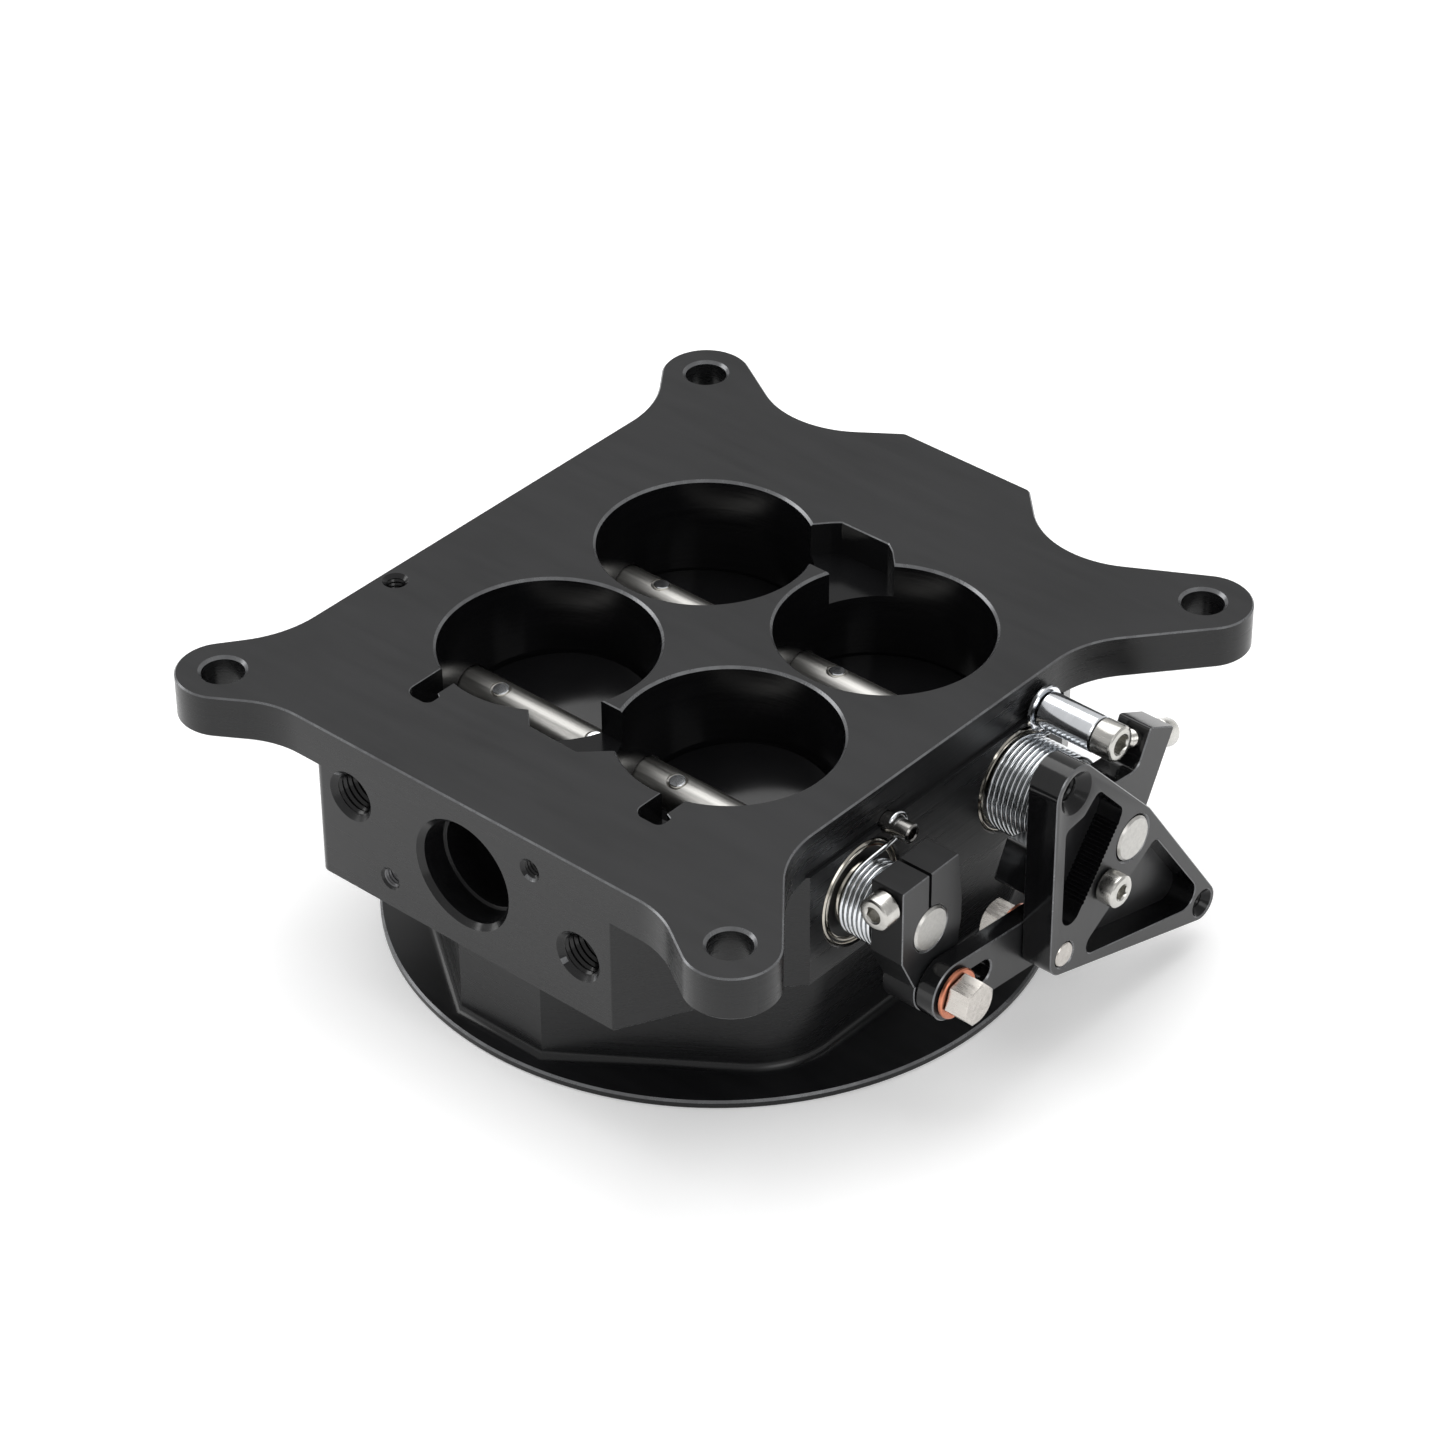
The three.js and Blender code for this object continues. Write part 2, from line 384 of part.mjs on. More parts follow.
export default assembly;
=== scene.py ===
import bpy, bmesh, math
from mathutils import Matrix, Quaternion, Vector


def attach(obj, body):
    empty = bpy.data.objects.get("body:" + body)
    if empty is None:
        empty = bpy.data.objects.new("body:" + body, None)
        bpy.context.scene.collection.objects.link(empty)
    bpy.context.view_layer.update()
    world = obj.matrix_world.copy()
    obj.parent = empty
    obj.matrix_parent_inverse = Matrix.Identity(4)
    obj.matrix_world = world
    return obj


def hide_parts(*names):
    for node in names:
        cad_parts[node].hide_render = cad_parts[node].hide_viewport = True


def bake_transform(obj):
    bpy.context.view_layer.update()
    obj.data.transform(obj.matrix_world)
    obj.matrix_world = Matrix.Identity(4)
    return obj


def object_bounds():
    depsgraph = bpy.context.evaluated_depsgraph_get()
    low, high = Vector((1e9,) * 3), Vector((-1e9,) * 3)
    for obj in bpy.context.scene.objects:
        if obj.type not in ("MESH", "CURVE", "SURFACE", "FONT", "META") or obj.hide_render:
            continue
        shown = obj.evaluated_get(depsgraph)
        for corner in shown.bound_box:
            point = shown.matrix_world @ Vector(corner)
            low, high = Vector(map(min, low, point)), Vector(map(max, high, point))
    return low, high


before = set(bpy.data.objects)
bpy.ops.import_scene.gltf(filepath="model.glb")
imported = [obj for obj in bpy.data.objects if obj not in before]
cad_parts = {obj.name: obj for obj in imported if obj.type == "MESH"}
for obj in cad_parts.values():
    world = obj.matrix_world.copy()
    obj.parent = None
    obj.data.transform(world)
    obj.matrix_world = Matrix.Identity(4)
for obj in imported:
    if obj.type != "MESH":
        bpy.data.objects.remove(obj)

CAD_LO, CAD_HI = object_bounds()
scene = bpy.context.scene
MM = 0.001

# ---------------------------------------------------------------- camera
AZ, EL, ROLL, F = 0.722110724947837, 0.630584918134154, -0.008517715306786265, 4957.673387457422
TX, TY, TZ = -1.0501094233367203, 17.187869431353416, 973.9988734519857
back = Vector((math.sin(AZ) * math.cos(EL), -math.cos(AZ) * math.cos(EL), math.sin(EL)))
right0 = Vector((0, 0, 1)).cross(back).normalized()
up0 = back.cross(right0)
right = math.cos(ROLL) * right0 + math.sin(ROLL) * up0
up = -math.sin(ROLL) * right0 + math.cos(ROLL) * up0
cam = bpy.data.objects.new("camera", bpy.data.cameras.new("camera"))
scene.collection.objects.link(cam)
cam.data.sensor_width = 36.0
cam.data.sensor_fit = "HORIZONTAL"
cam.data.lens = F / 1445.0 * 36.0
cam.data.clip_start, cam.data.clip_end = 0.05, 20.0
R = Matrix((right, up, back))
place = R.transposed() @ Vector((-TX, -TY, TZ)) * MM
cam.matrix_world = Matrix.Translation(place) @ R.transposed().to_4x4()
scene.camera = cam

# ---------------------------------------------------------------- plane geometry
def rounded(lst, step=7.0):
    out, n = [], len(lst)
    for i in range(n):
        px, py = lst[i - 1][:2]
        x, y = lst[i][:2]
        r = lst[i][2] if len(lst[i]) > 2 else 0
        nx, ny = lst[(i + 1) % n][:2]
        if r <= 0.01:
            out.append((x, y)); continue
        a, b = Vector((px - x, py - y)).normalized(), Vector((nx - x, ny - y)).normalized()
        half = math.acos(max(-1, min(1, a.dot(b)))) / 2
        t = r / math.tan(half)
        c = (a + b).normalized() * (r / math.sin(half)) + Vector((x, y))
        s, e = Vector((x, y)) + a * t, Vector((x, y)) + b * t
        a0, a1 = math.atan2(s.y - c.y, s.x - c.x), math.atan2(e.y - c.y, e.x - c.x)
        d = (a1 - a0 + math.pi) % (2 * math.pi) - math.pi
        k = max(1, math.ceil(abs(math.degrees(d)) / step))
        out += [(c.x + r * math.cos(a0 + d * j / k), c.y + r * math.sin(a0 + d * j / k)) for j in range(k + 1)]
    return out


def circ(c, r, n=56):
    return [(c[0] + r * math.cos(2 * math.pi * i / n), c[1] + r * math.sin(2 * math.pi * i / n)) for i in range(n)]


def hull(points):
    p = sorted(points)
    def half(l):
        h = []
        for q in l:
            while len(h) > 1 and (h[-1][0] - h[-2][0]) * (q[1] - h[-2][1]) - (h[-1][1] - h[-2][1]) * (q[0] - h[-2][0]) <= 1e-9:
                h.pop()
            h.append(q)
        return h[:-1]
    return half(p) + half(p[::-1])


def ccw(pts):
    a = sum(pts[i - 1][0] * pts[i][1] - pts[i][0] * pts[i - 1][1] for i in range(len(pts)))
    pts = list(pts if a > 0 else pts[::-1])
    return [p for i, p in enumerate(pts) if math.hypot(p[0] - pts[i - 1][0], p[1] - pts[i - 1][1]) > 1e-4]


def offset(pts, d):
    if not d:
        return pts
    n, out = len(pts), []
    for i in range(n):
        a, b, c = Vector(pts[i - 1]), Vector(pts[i]), Vector(pts[(i + 1) % n])
        e1, e2 = (b - a).normalized(), (c - b).normalized()
        n1, n2 = Vector((e1.y, -e1.x)), Vector((e2.y, -e2.x))
        m = (n1 + n2) / max(0.35, 1 + n1.dot(n2))
        out.append(tuple(b + m * d))
    return out


PLACE = {"z": lambda u, v, h: (u, v, h), "x": lambda u, v, h: (h, u, v), "y": lambda u, v, h: (u, h, v)}


def mesh(verts, faces):
    me = bpy.data.meshes.new("m")
    me.from_pydata(verts, [], faces)
    ob = bpy.data.objects.new("m", me)
    scene.collection.objects.link(ob)
    bm = bmesh.new(); bm.from_mesh(me)
    bmesh.ops.remove_doubles(bm, verts=bm.verts, dist=1e-5)
    bmesh.ops.recalc_face_normals(bm, faces=bm.faces)
    bm.to_mesh(me); bm.free()
    return ob


def prism(pts, prof, axis):
    """Stacked outlines: prof is [(height, offset), ...]."""
    pts, P = ccw(pts), PLACE[axis]
    n, verts, faces = len(pts), [], []
    for h, off in prof:
        verts += [P(u, v, h) for u, v in offset(pts, off)]
    for k in range(len(prof) - 1):
        for i in range(n):
            j = (i + 1) % n
            faces.append((k * n + i, k * n + j, k * n + n + j, k * n + n + i))
    faces.append(tuple(range(n))[::-1])
    faces.append(tuple(range((len(prof) - 1) * n, len(prof) * n)))
    return mesh(verts, faces)


def lathe(prof, axis, c, seg=72, turn=0.0):
    """Turned solid: prof is [(height, radius), ...]; a radius of 0 closes it, otherwise the profile is a loop."""
    P, verts, rings, faces = PLACE[axis], [], [], []
    for h, r in prof:
        if r < 1e-6:
            rings.append([len(verts)]); verts.append(P(c[0], c[1], h))
        else:
            rings.append(list(range(len(verts), len(verts) + seg)))
            verts += [P(c[0] + r * math.cos(turn + 2 * math.pi * i / seg), c[1] + r * math.sin(turn + 2 * math.pi * i / seg), h) for i in range(seg)]
    pairs = list(zip(rings, rings[1:]))
    if len(rings[0]) > 1 and len(rings[-1]) > 1:
        pairs.append((rings[-1], rings[0]))
    for a, b in pairs:
        if len(a) == 1 and len(b) == 1:
            continue
        for i in range(seg):
            j = (i + 1) % seg
            if len(a) == 1:
                faces.append((a[0], b[j], b[i]))
            elif len(b) == 1:
                faces.append((a[i], a[j], b[0]))
            else:
                faces.append((a[i], a[j], b[j], b[i]))
    return mesh(verts, faces)


def aim(ob, origin, direction):
    q = Vector((0, 0, 1)).rotation_difference(Vector(direction).normalized())
    ob.data.transform(Matrix.Translation(Vector(origin)) @ q.to_matrix().to_4x4())
    return ob


def tube_along(path, r, sides=12):
    verts, faces = [], []
    ref = Vector((1, 0, 0))
    pts = [Vector(p) for p in path]
    n = len(pts)
    for i, p in enumerate(pts):
        t = (pts[min(n - 1, i + 1)] - pts[max(0, i - 1)]).normalized()
        ref = ref - t * ref.dot(t)
        if ref.length < 1e-3:
            ref = Vector((0, 1, 0)).cross(t)
        ref.normalize()
        w = t.cross(ref)
        k = r * (0.72 if i in (0, n - 1) else 1)
        verts += [tuple(p + (ref * math.cos(2 * math.pi * j / sides) + w * math.sin(2 * math.pi * j / sides)) * k) for j in range(sides)]
    for i in range(n - 1):
        for j in range(sides):
            a, b = i * sides + j, i * sides + (j + 1) % sides
            faces.append((a, b, b + sides, a + sides))
    faces.append(tuple(range(sides))[::-1])
    faces.append(tuple(range((n - 1) * sides, n * sides)))
    return mesh(verts, faces)


def boole(base, tools, op="DIFFERENCE", solver="MANIFOLD"):
    for t in tools:
        m = base.modifiers.new("b", "BOOLEAN")
        m.operation, m.object, m.solver = op, t, solver
    dg = bpy.context.evaluated_depsgraph_get()
    dg.update()
    me = bpy.data.meshes.new_from_object(base.evaluated_get(dg))
    base.modifiers.clear()
    old = base.data
    base.data = me
    bpy.data.meshes.remove(old)
    for t in tools:
        tm = t.data
        bpy.data.objects.remove(t)
        bpy.data.meshes.remove(tm)
    return base


def hexpts(c, flat, turn=0.0):
    r = flat / math.cos(math.pi / 6)
    return [(c[0] + r * math.cos(turn + i * math.pi / 3), c[1] + r * math.sin(turn + i * math.pi / 3)) for i in range(6)]


def threads(h0, h1, r, depth, pitch):
    """Zigzag profile between two heights."""
    n = max(1, int(abs(h1 - h0) / pitch))
    s = (h1 - h0) / n
    out = []
    for i in range(n):
        out += [(h0 + s * (i + 0.08), r), (h0 + s * (i + 0.5), r + depth), (h0 + s * (i + 0.92), r)]
    return out


# ---------------------------------------------------------------- materials
def material(name, c0, c1, r0, r1, metallic, grain, bump=0.1, mottle=28.0, fine=700.0, coat=0.0, aniso=0.0, spec=0.5, edge=0.0):
    m = bpy.data.materials.new(name)
    m.use_nodes = True
    N, L = m.node_tree.nodes, m.node_tree.links
    b = N["Principled BSDF"]
    b.inputs["Metallic"].default_value = metallic
    b.inputs["Specular IOR Level"].default_value = spec
    b.inputs["Coat Weight"].default_value = coat
    b.inputs["Coat Roughness"].default_value = 0.12
    b.inputs["Anisotropic"].default_value = aniso
    tc = N.new("ShaderNodeTexCoord")
    mp = N.new("ShaderNodeMapping"); mp.inputs["Scale"].default_value = grain
    L.new(tc.outputs["Object"], mp.inputs["Vector"])
    g = N.new("ShaderNodeTexNoise"); g.inputs["Scale"].default_value = 1.0; g.inputs["Detail"].default_value = 4.0; g.inputs["Roughness"].default_value = 0.62
    L.new(mp.outputs["Vector"], g.inputs["Vector"])
    big = N.new("ShaderNodeTexNoise"); big.inputs["Scale"].default_value = mottle; big.inputs["Detail"].default_value = 3.0
    L.new(tc.outputs["Object"], big.inputs["Vector"])
    tiny = N.new("ShaderNodeTexNoise"); tiny.inputs["Scale"].default_value = fine; tiny.inputs["Detail"].default_value = 2.0
    L.new(tc.outputs["Object"], tiny.inputs["Vector"])
    s1 = N.new("ShaderNodeMath"); s1.operation = "MULTIPLY_ADD"; s1.inputs[1].default_value = 0.55
    L.new(g.outputs["Fac"], s1.inputs[0]); 
    s2 = N.new("ShaderNodeMath"); s2.operation = "MULTIPLY"; s2.inputs[1].default_value = 0.45
    L.new(big.outputs["Fac"], s2.inputs[0]); L.new(s2.outputs[0], s1.inputs[2])
    ramp = N.new("ShaderNodeValToRGB")
    ramp.color_ramp.elements[0].position, ramp.color_ramp.elements[1].position = 0.3, 0.7
    ramp.color_ramp.elements[0].color = (*c0, 1); ramp.color_ramp.elements[1].color = (*c1, 1)
    L.new(s1.outputs[0], ramp.inputs["Fac"]); L.new(ramp.outputs["Color"], b.inputs["Base Color"])
    mr = N.new("ShaderNodeMapRange")
    mr.inputs["From Min"].default_value, mr.inputs["From Max"].default_value = 0.3, 0.7
    mr.inputs["To Min"].default_value, mr.inputs["To Max"].default_value = r0, r1
    L.new(s1.outputs[0], mr.inputs["Value"]); L.new(mr.outputs["Result"], b.inputs["Roughness"])
    h = N.new("ShaderNodeMath"); h.operation = "MULTIPLY_ADD"; h.inputs[1].default_value = 0.25
    L.new(tiny.outputs["Fac"], h.inputs[0]); L.new(g.outputs["Fac"], h.inputs[2])
    bp = N.new("ShaderNodeBump"); bp.inputs["Strength"].default_value = bump; bp.inputs["Distance"].default_value = 0.00012
    L.new(h.outputs[0], bp.inputs["Height"]); L.new(bp.outputs["Normal"], b.inputs["Normal"])
    return m


M = {
    "body": material("anodised_body", (0.0045, 0.0046, 0.005), (0.0085, 0.0087, 0.0093), 0.22, 0.34, 0.0, (60, 60, 1300), bump=0.10, spec=0.36),
    "top": material("anodised_top", (0.0048, 0.0049, 0.0055), (0.0102, 0.0104, 0.0114), 0.30, 0.44, 0.0, (30, 260, 30), bump=0.08, spec=0.34),
    "wall": material("anodised_milled", (0.0035, 0.0036, 0.004), (0.013, 0.0133, 0.014), 0.20, 0.38, 0.0, (60, 30, 1150), bump=0.36, spec=0.32),
    # darker colour for bore walls, pocket walls and floors and lever holes: painted shade
    "bore": material("anodised_bore_painted_shade", (0.003, 0.003, 0.0034), (0.006, 0.0061, 0.0066), 0.12, 0.22, 0.0, (40, 40, 1500), bump=0.12, spec=0.26),
    # bright chamfer colour: partly worn edge, partly painted highlight
    "edge": material("anodised_edge_wear_and_highlight", (0.10, 0.10, 0.105), (0.20, 0.205, 0.21), 0.22, 0.32, 0.7, (300, 300, 300), bump=0.05),
    "thread_dark": material("anodised_thread", (0.004, 0.004, 0.0044), (0.012, 0.012, 0.0128), 0.12, 0.22, 0.0, (300, 2000, 300), bump=0.1, spec=0.35),
    # bright thread colour is a painted glint, used only in the tapped hole at x -20.5
    "thread": material("thread_painted_glint", (0.06, 0.06, 0.064), (0.20, 0.20, 0.205), 0.22, 0.36, 0.8, (300, 2000, 300), bump=0.1),
    "lever": material("anodised_lever", (0.0065, 0.0066, 0.0072), (0.012, 0.0122, 0.0132), 0.27, 0.38, 0.0, (60, 420, 60), bump=0.06, spec=0.48),
    "clamp": material("anodised_clamp", (0.0036, 0.0037, 0.0041), (0.0072, 0.0074, 0.0080), 0.30, 0.42, 0.0, (60, 420, 60), bump=0.06, spec=0.2),
    "lever_side": material("anodised_gloss", (0.003, 0.003, 0.0034), (0.006, 0.0061, 0.0066), 0.08, 0.16, 0.0, (900, 60, 60), bump=0.07, spec=0.45),
    "blade": material("anodised_blade", (0.003, 0.003, 0.0034), (0.0055, 0.0055, 0.006), 0.10, 0.18, 0.0, (60, 60, 60), bump=0.05, spec=0.3),
    "steel": material("turned_stainless", (0.44, 0.43, 0.405), (0.62, 0.61, 0.58), 0.16, 0.32, 1.0, (60, 900, 900), bump=0.12, aniso=0.3),
    "shaft": material("ground_shaft", (0.36, 0.355, 0.34), (0.58, 0.57, 0.545), 0.26, 0.46, 1.0, (40, 1300, 1300), bump=0.22, aniso=0.3),
    "zinc": material("zinc_plate", (0.74, 0.76, 0.79), (0.88, 0.90, 0.93), 0.12, 0.2, 1.0, (500, 60, 60), bump=0.05),
    "bolt": material("zinc_bolt", (0.40, 0.375, 0.35), (0.66, 0.63, 0.59), 0.18, 0.34, 1.0, (200, 900, 900), bump=0.14),
    "wire": material("spring_wire", (0.58, 0.60, 0.62), (0.78, 0.80, 0.82), 0.08, 0.16, 1.0, (900, 900, 900), bump=0.05),
    "pin": material("dark_pin", (0.16, 0.155, 0.15), (0.30, 0.295, 0.285), 0.16, 0.28, 1.0, (700, 60, 60), bump=0.08),
    "race": material("bearing_race", (0.36, 0.34, 0.30), (0.56, 0.53, 0.47), 0.10, 0.2, 1.0, (60, 700, 700), bump=0.05),
    "shield": material("bearing_shield", (0.006, 0.006, 0.006), (0.014, 0.014, 0.0135), 0.25, 0.4, 0.2, (200, 200, 200), bump=0.05, spec=0.3),
    "copper": material("copper_washer", (0.46, 0.15, 0.085), (0.66, 0.26, 0.16), 0.22, 0.36, 1.0, (200, 500, 500), bump=0.06),
    "clip": material("black_oxide", (0.02, 0.02, 0.021), (0.045, 0.045, 0.046), 0.35, 0.5, 0.4, (300, 300, 300), bump=0.06),
}


def done(ob, name, body, nodes, mats, pick=None, sharp=28.0, ride=True):
    """Scale to metres, shade, give materials (pick(centre in mm, normal) -> index) and hand over to the frame."""
    me = ob.data
    ob.name = name; me.name = name
    me.materials.clear()
    for k in mats:
        me.materials.append(M[k])
    for p in me.polygons:
        p.use_smooth = True
        p.material_index = pick(p.center, p.normal, p.area) if pick else 0
    me.transform(Matrix.Scale(MM, 4))
    for v in me.vertices:
        v.co = [min(max(v.co[i], CAD_LO[i]), CAD_HI[i]) for i in range(3)]
    # points that the cuts left on top of each other are welded
    bm = bmesh.new()
    bm.from_mesh(me)
    bmesh.ops.remove_doubles(bm, verts=bm.verts[:], dist=5e-8)
    bm.to_mesh(me)
    bm.free()
    me.set_sharp_from_angle(angle=math.radians(sharp))
    me.update()
    if ride:
        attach(ob, body)
    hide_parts(*nodes)
    return ob


# ---------------------------------------------------------------- dimensions, as in the CAD
GAP = 0.3
STUD_X, STUD_Y, EAR_R, STUD_HOLE_R = 65.5, 71.4, 9.4, 4.35
FLANGE_T, BORE_X, BORE_Y, BORE_R = 9.5, 23.5, 23.3, 22.2
BLOCK_BOTTOM, RING_TOP, RING_BOTTOM, RING_R, WALL_X = -35.2, -61.3, -63.3, 69.1, 56.6
SHAFT_Y, SHAFT_Z, SHAFT_R = 23.5, -21.3, 4.765
PRIMARY_END, SECONDARY_END, SHAFT_LEFT = 85.9, 74.0, -62.5
BEARING_R, BEARING_W, BLADE_R, BLADE_T = 11.05, 6.7, 21.9, 1.5
SCREW_X = [-BORE_X - 12.7, -BORE_X + 12.7, BORE_X - 12.7, BORE_X + 12.7]
PIVOT_FRONT, PIVOT_REAR = (-22.0, -35.0), (3.0, -37.6)
LEVER_TOP, LEVER_RIGHT, LEVER_SCREW = (4.65, 0.25), (48.3, -52.0), (15.1, -27.5)
POST, POST_R, PIN, PIN_R = (31.0, -7.6), 3.9, (-15.7, -9.0), 2.05
CLAMP_SCREW, STOP_X = (69.9, -12.6), 74.4


def ear(e, n1, n2):
    det = n1[0] * n2[1] - n1[1] * n2[0]
    return (e[0] + (EAR_R * n2[1] - EAR_R * n1[1]) / det, e[1] + (n1[0] * EAR_R - n2[0] * EAR_R) / det, EAR_R)


flange = rounded([
    ear((-STUD_X, -STUD_Y), (-0.802, 0.598), (0.530, -0.848)), (-49.9, -72.8, 20), (49.9, -72.8, 20),
    ear((STUD_X, -STUD_Y), (-0.530, -0.848), (0.764, 0.645)), (55.9, -44.9, 22), (55.9, 44.9, 22),
    ear((STUD_X, STUD_Y), (0.764, -0.645), (-0.497, 0.868)), (31.9, 63.0, 21), (14.7, 80.5, 2), (-18.3, 80.5, 2), (-37.9, 66.2, 21.5),
    ear((-STUD_X, STUD_Y), (0.503, 0.864), (-0.802, -0.598)), (-65.0, 55.0, 24), (-65.0, -55.0, 24)], 4)
block = rounded([(-39.2, -72.8, 2.5), (37.3, -72.8, 0.6), (53.4, -42, 0), (WALL_X, -38.5, 0), (WALL_X, 38.5, 0), (53.4, 42, 0),
                 (45, 57, 8), (20, 61, 4), (-20, 61, 4), (-45, 57, 8), (-53.4, 42, 0), (-WALL_X, 38.5, 0), (-WALL_X, -38.5, 0), (-53.4, -42, 0)], 6)
lower = rounded([(-11, -64.5, 0), (10.5, -64.5, 0), (50.5, -36.1, 19), (50.5, 36.1, 19), (10.5, 64.5, 0), (-11, 64.5, 0), (-50.5, 36.1, 19), (-50.5, -36.1, 19)], 5)

# ---------------------------------------------------------------- housing
CH = 0.32
house = prism(flange, [(-FLANGE_T, -0.35), (-FLANGE_T + 0.35, 0), (-CH, 0), (0, -CH)], "z")
fillet = [(-61.8, 2.6), (-61.3, 1.9)] + [(-61.3 + 1.9 * (1 - math.cos(a)), 1.9 * (1 - math.sin(a))) for a in (0.35, 0.7, 1.05, 1.35)] + [(-59.4, 0)]
house = boole(house, [
    prism(block, [(BLOCK_BOTTOM, -0.5), (BLOCK_BOTTOM + 0.5, 0), (-9.0, 0)], "z"),
    prism([(-17, 50), (13.4, 50), (13.4, 79.8), (-17, 79.8)], [(-25, -0.5), (-24.5, 0), (-9.0, 0)], "z"),
    prism(lower, fillet + [(BLOCK_BOTTOM + 1.5, 0)], "z"),
    lathe([(RING_BOTTOM, 0), (RING_BOTTOM, RING_R - 0.5), (RING_BOTTOM + 0.5, RING_R), (RING_TOP - 0.45, RING_R), (RING_TOP, RING_R - 0.45), (RING_TOP, 0)], "z", (0, 0), 180),
], "UNION")
cuts = []
for sx in (-1, 1):
    for sy in (-1, 1):
        cuts.append(lathe([(-70, 0), (-70, BORE_R + 2.2), (RING_BOTTOM, BORE_R + 2.2), (RING_BOTTOM + 3.5, BORE_R), (-0.5, BORE_R), (0, BORE_R + 0.5), (5, BORE_R + 0.5), (5, 0)], "z", (sx * BORE_X, sy * BORE_Y), 128))
        cuts.append(lathe([(-14, 0), (-14, STUD_HOLE_R + 0.5), (-FLANGE_T, STUD_HOLE_R + 0.5), (-FLANGE_T + 0.5, STUD_HOLE_R), (-0.6, STUD_HOLE_R), (0, STUD_HOLE_R + 0.6), (2, STUD_HOLE_R + 0.6), (2, 0)], "z", (sx * STUD_X, sy * STUD_Y), 56))


def pocket(pts, floor, ch=0.22):
    return prism(pts, [(floor, 0), (-ch, 0), (0, ch), (2, ch)], "z")


cuts.append(pocket(rounded([(-12, 31), (12, 31), (12, 40.4, 0.8), (7.5, 45, 0.8), (5.3, 46.5, 0.8), (-7, 46.4, 0.8), (-8.5, 45, 0.8), (-12, 41, 0.8)]), -7.7))
cuts.append(pocket(rounded([(-12, -31), (-12, -41.6, 0.8), (-7.5, -46, 0.8), (5, -46.3, 0.8), (9.5, -42, 0.8), (12, -40, 0.8), (12, -31)]), -7.7))
cuts.append(pocket(rounded([(-33.5, -41, 0), (-33.5, -53.7, 2.5), (-27.2, -53.7, 1.5), (-27.2, -50.5, 0.5), (-28.3, -49.8, 0.3), (-28.3, -41, 0)]), -6.5, 0.15))
cuts.append(pocket(rounded([(25.8, -41, 0), (25.8, -53.7, 2.5), (32.6, -53.7, 1.5), (32.6, -50.5, 0.5), (31.0, -49.8, 0.3), (31.0, -41, 0)]), -6.5, 0.15))
cuts.append(lathe([(-14, 0), (-14, 2.0)] + threads(-11, -0.7, 1.95, 0.28, 0.9) + [(-0.5, 2.2), (0, 2.7), (2, 2.7), (2, 0)], "z", (-61.3, -27.5), 32))
for s in (-1, 1):
    cuts.append(lathe([(-60, 0), (-60, SHAFT_R + GAP), (60, SHAFT_R + GAP), (60, 0)], "x", (s * SHAFT_Y, SHAFT_Z), 48))
    for e in (-1, 1):
        a, b, c = e * (WALL_X - BEARING_W - GAP), e * (WALL_X - 0.35), e * WALL_X
        cuts.append(lathe([(a, 0), (a, BEARING_R + 0.12), (b, BEARING_R + 0.12), (c, BEARING_R + 0.5), (e * 60, BEARING_R + 0.5), (e * 60, 0)], "x", (s * SHAFT_Y, SHAFT_Z), 80))
FY = -72.8
cuts.append(lathe([(-80, 0), (-80, 12.1), (FY, 12.1), (FY + 1.1, 11.0), (-66.5, 11.0), (-66.2, 10.3), (-58, 10.3), (-58, 7.0), (-49, 7.0), (-49, 0)], "y", (-0.8, -17.2), 96))
for c in ((-30.2, -12.9), (28.8, -21.5)):
    cuts.append(lathe([(-80, 0), (-80, 5.5), (FY, 5.5), (FY + 0.9, 4.6)] + threads(FY + 1.0, -58.0, 4.35, 0.42, 1.15) + [(-55, 4.2), (-55, 0)], "y", c, 56))
for c in ((17, -7.0), (-20.5, -28)):
    cuts.append(lathe([(-80, 0), (-80, 2.5), (FY, 2.5), (FY + 0.5, 2.0)] + threads(FY + 0.6, -65.0, 1.75, 0.3, 0.7) + [(-64, 1.6), (-64, 0)], "y", c, 32))
cuts.append(lathe([(90, 0), (90, 6.5), (79.8, 6.5), (79.0, 5.7)] + threads(78.9, 68.0, 5.35, 0.4, 1.2) + [(66, 5.2), (66, 0)], "y", (-1.8, -16.5), 56))
cuts.append(lathe([(-70, 0), (-70, 3.8), (RING_BOTTOM, 3.8), (RING_BOTTOM + 0.6, 3.2)] + threads(-62.5, -46, 3.1, 0.3, 1.1) + [(-42, 3.0), (-42, 0)], "z", (0, 0), 48))
cuts.append(lathe([(46, 0), (46, 2.6), (60, 2.6), (60, 0)], "x", POST, 32))
cuts.append(lathe([(49.5, 0), (49.5, PIN_R + 0.15), (60, PIN_R + 0.15), (60, 0)], "x", PIN, 32))
house = boole(house, cuts)


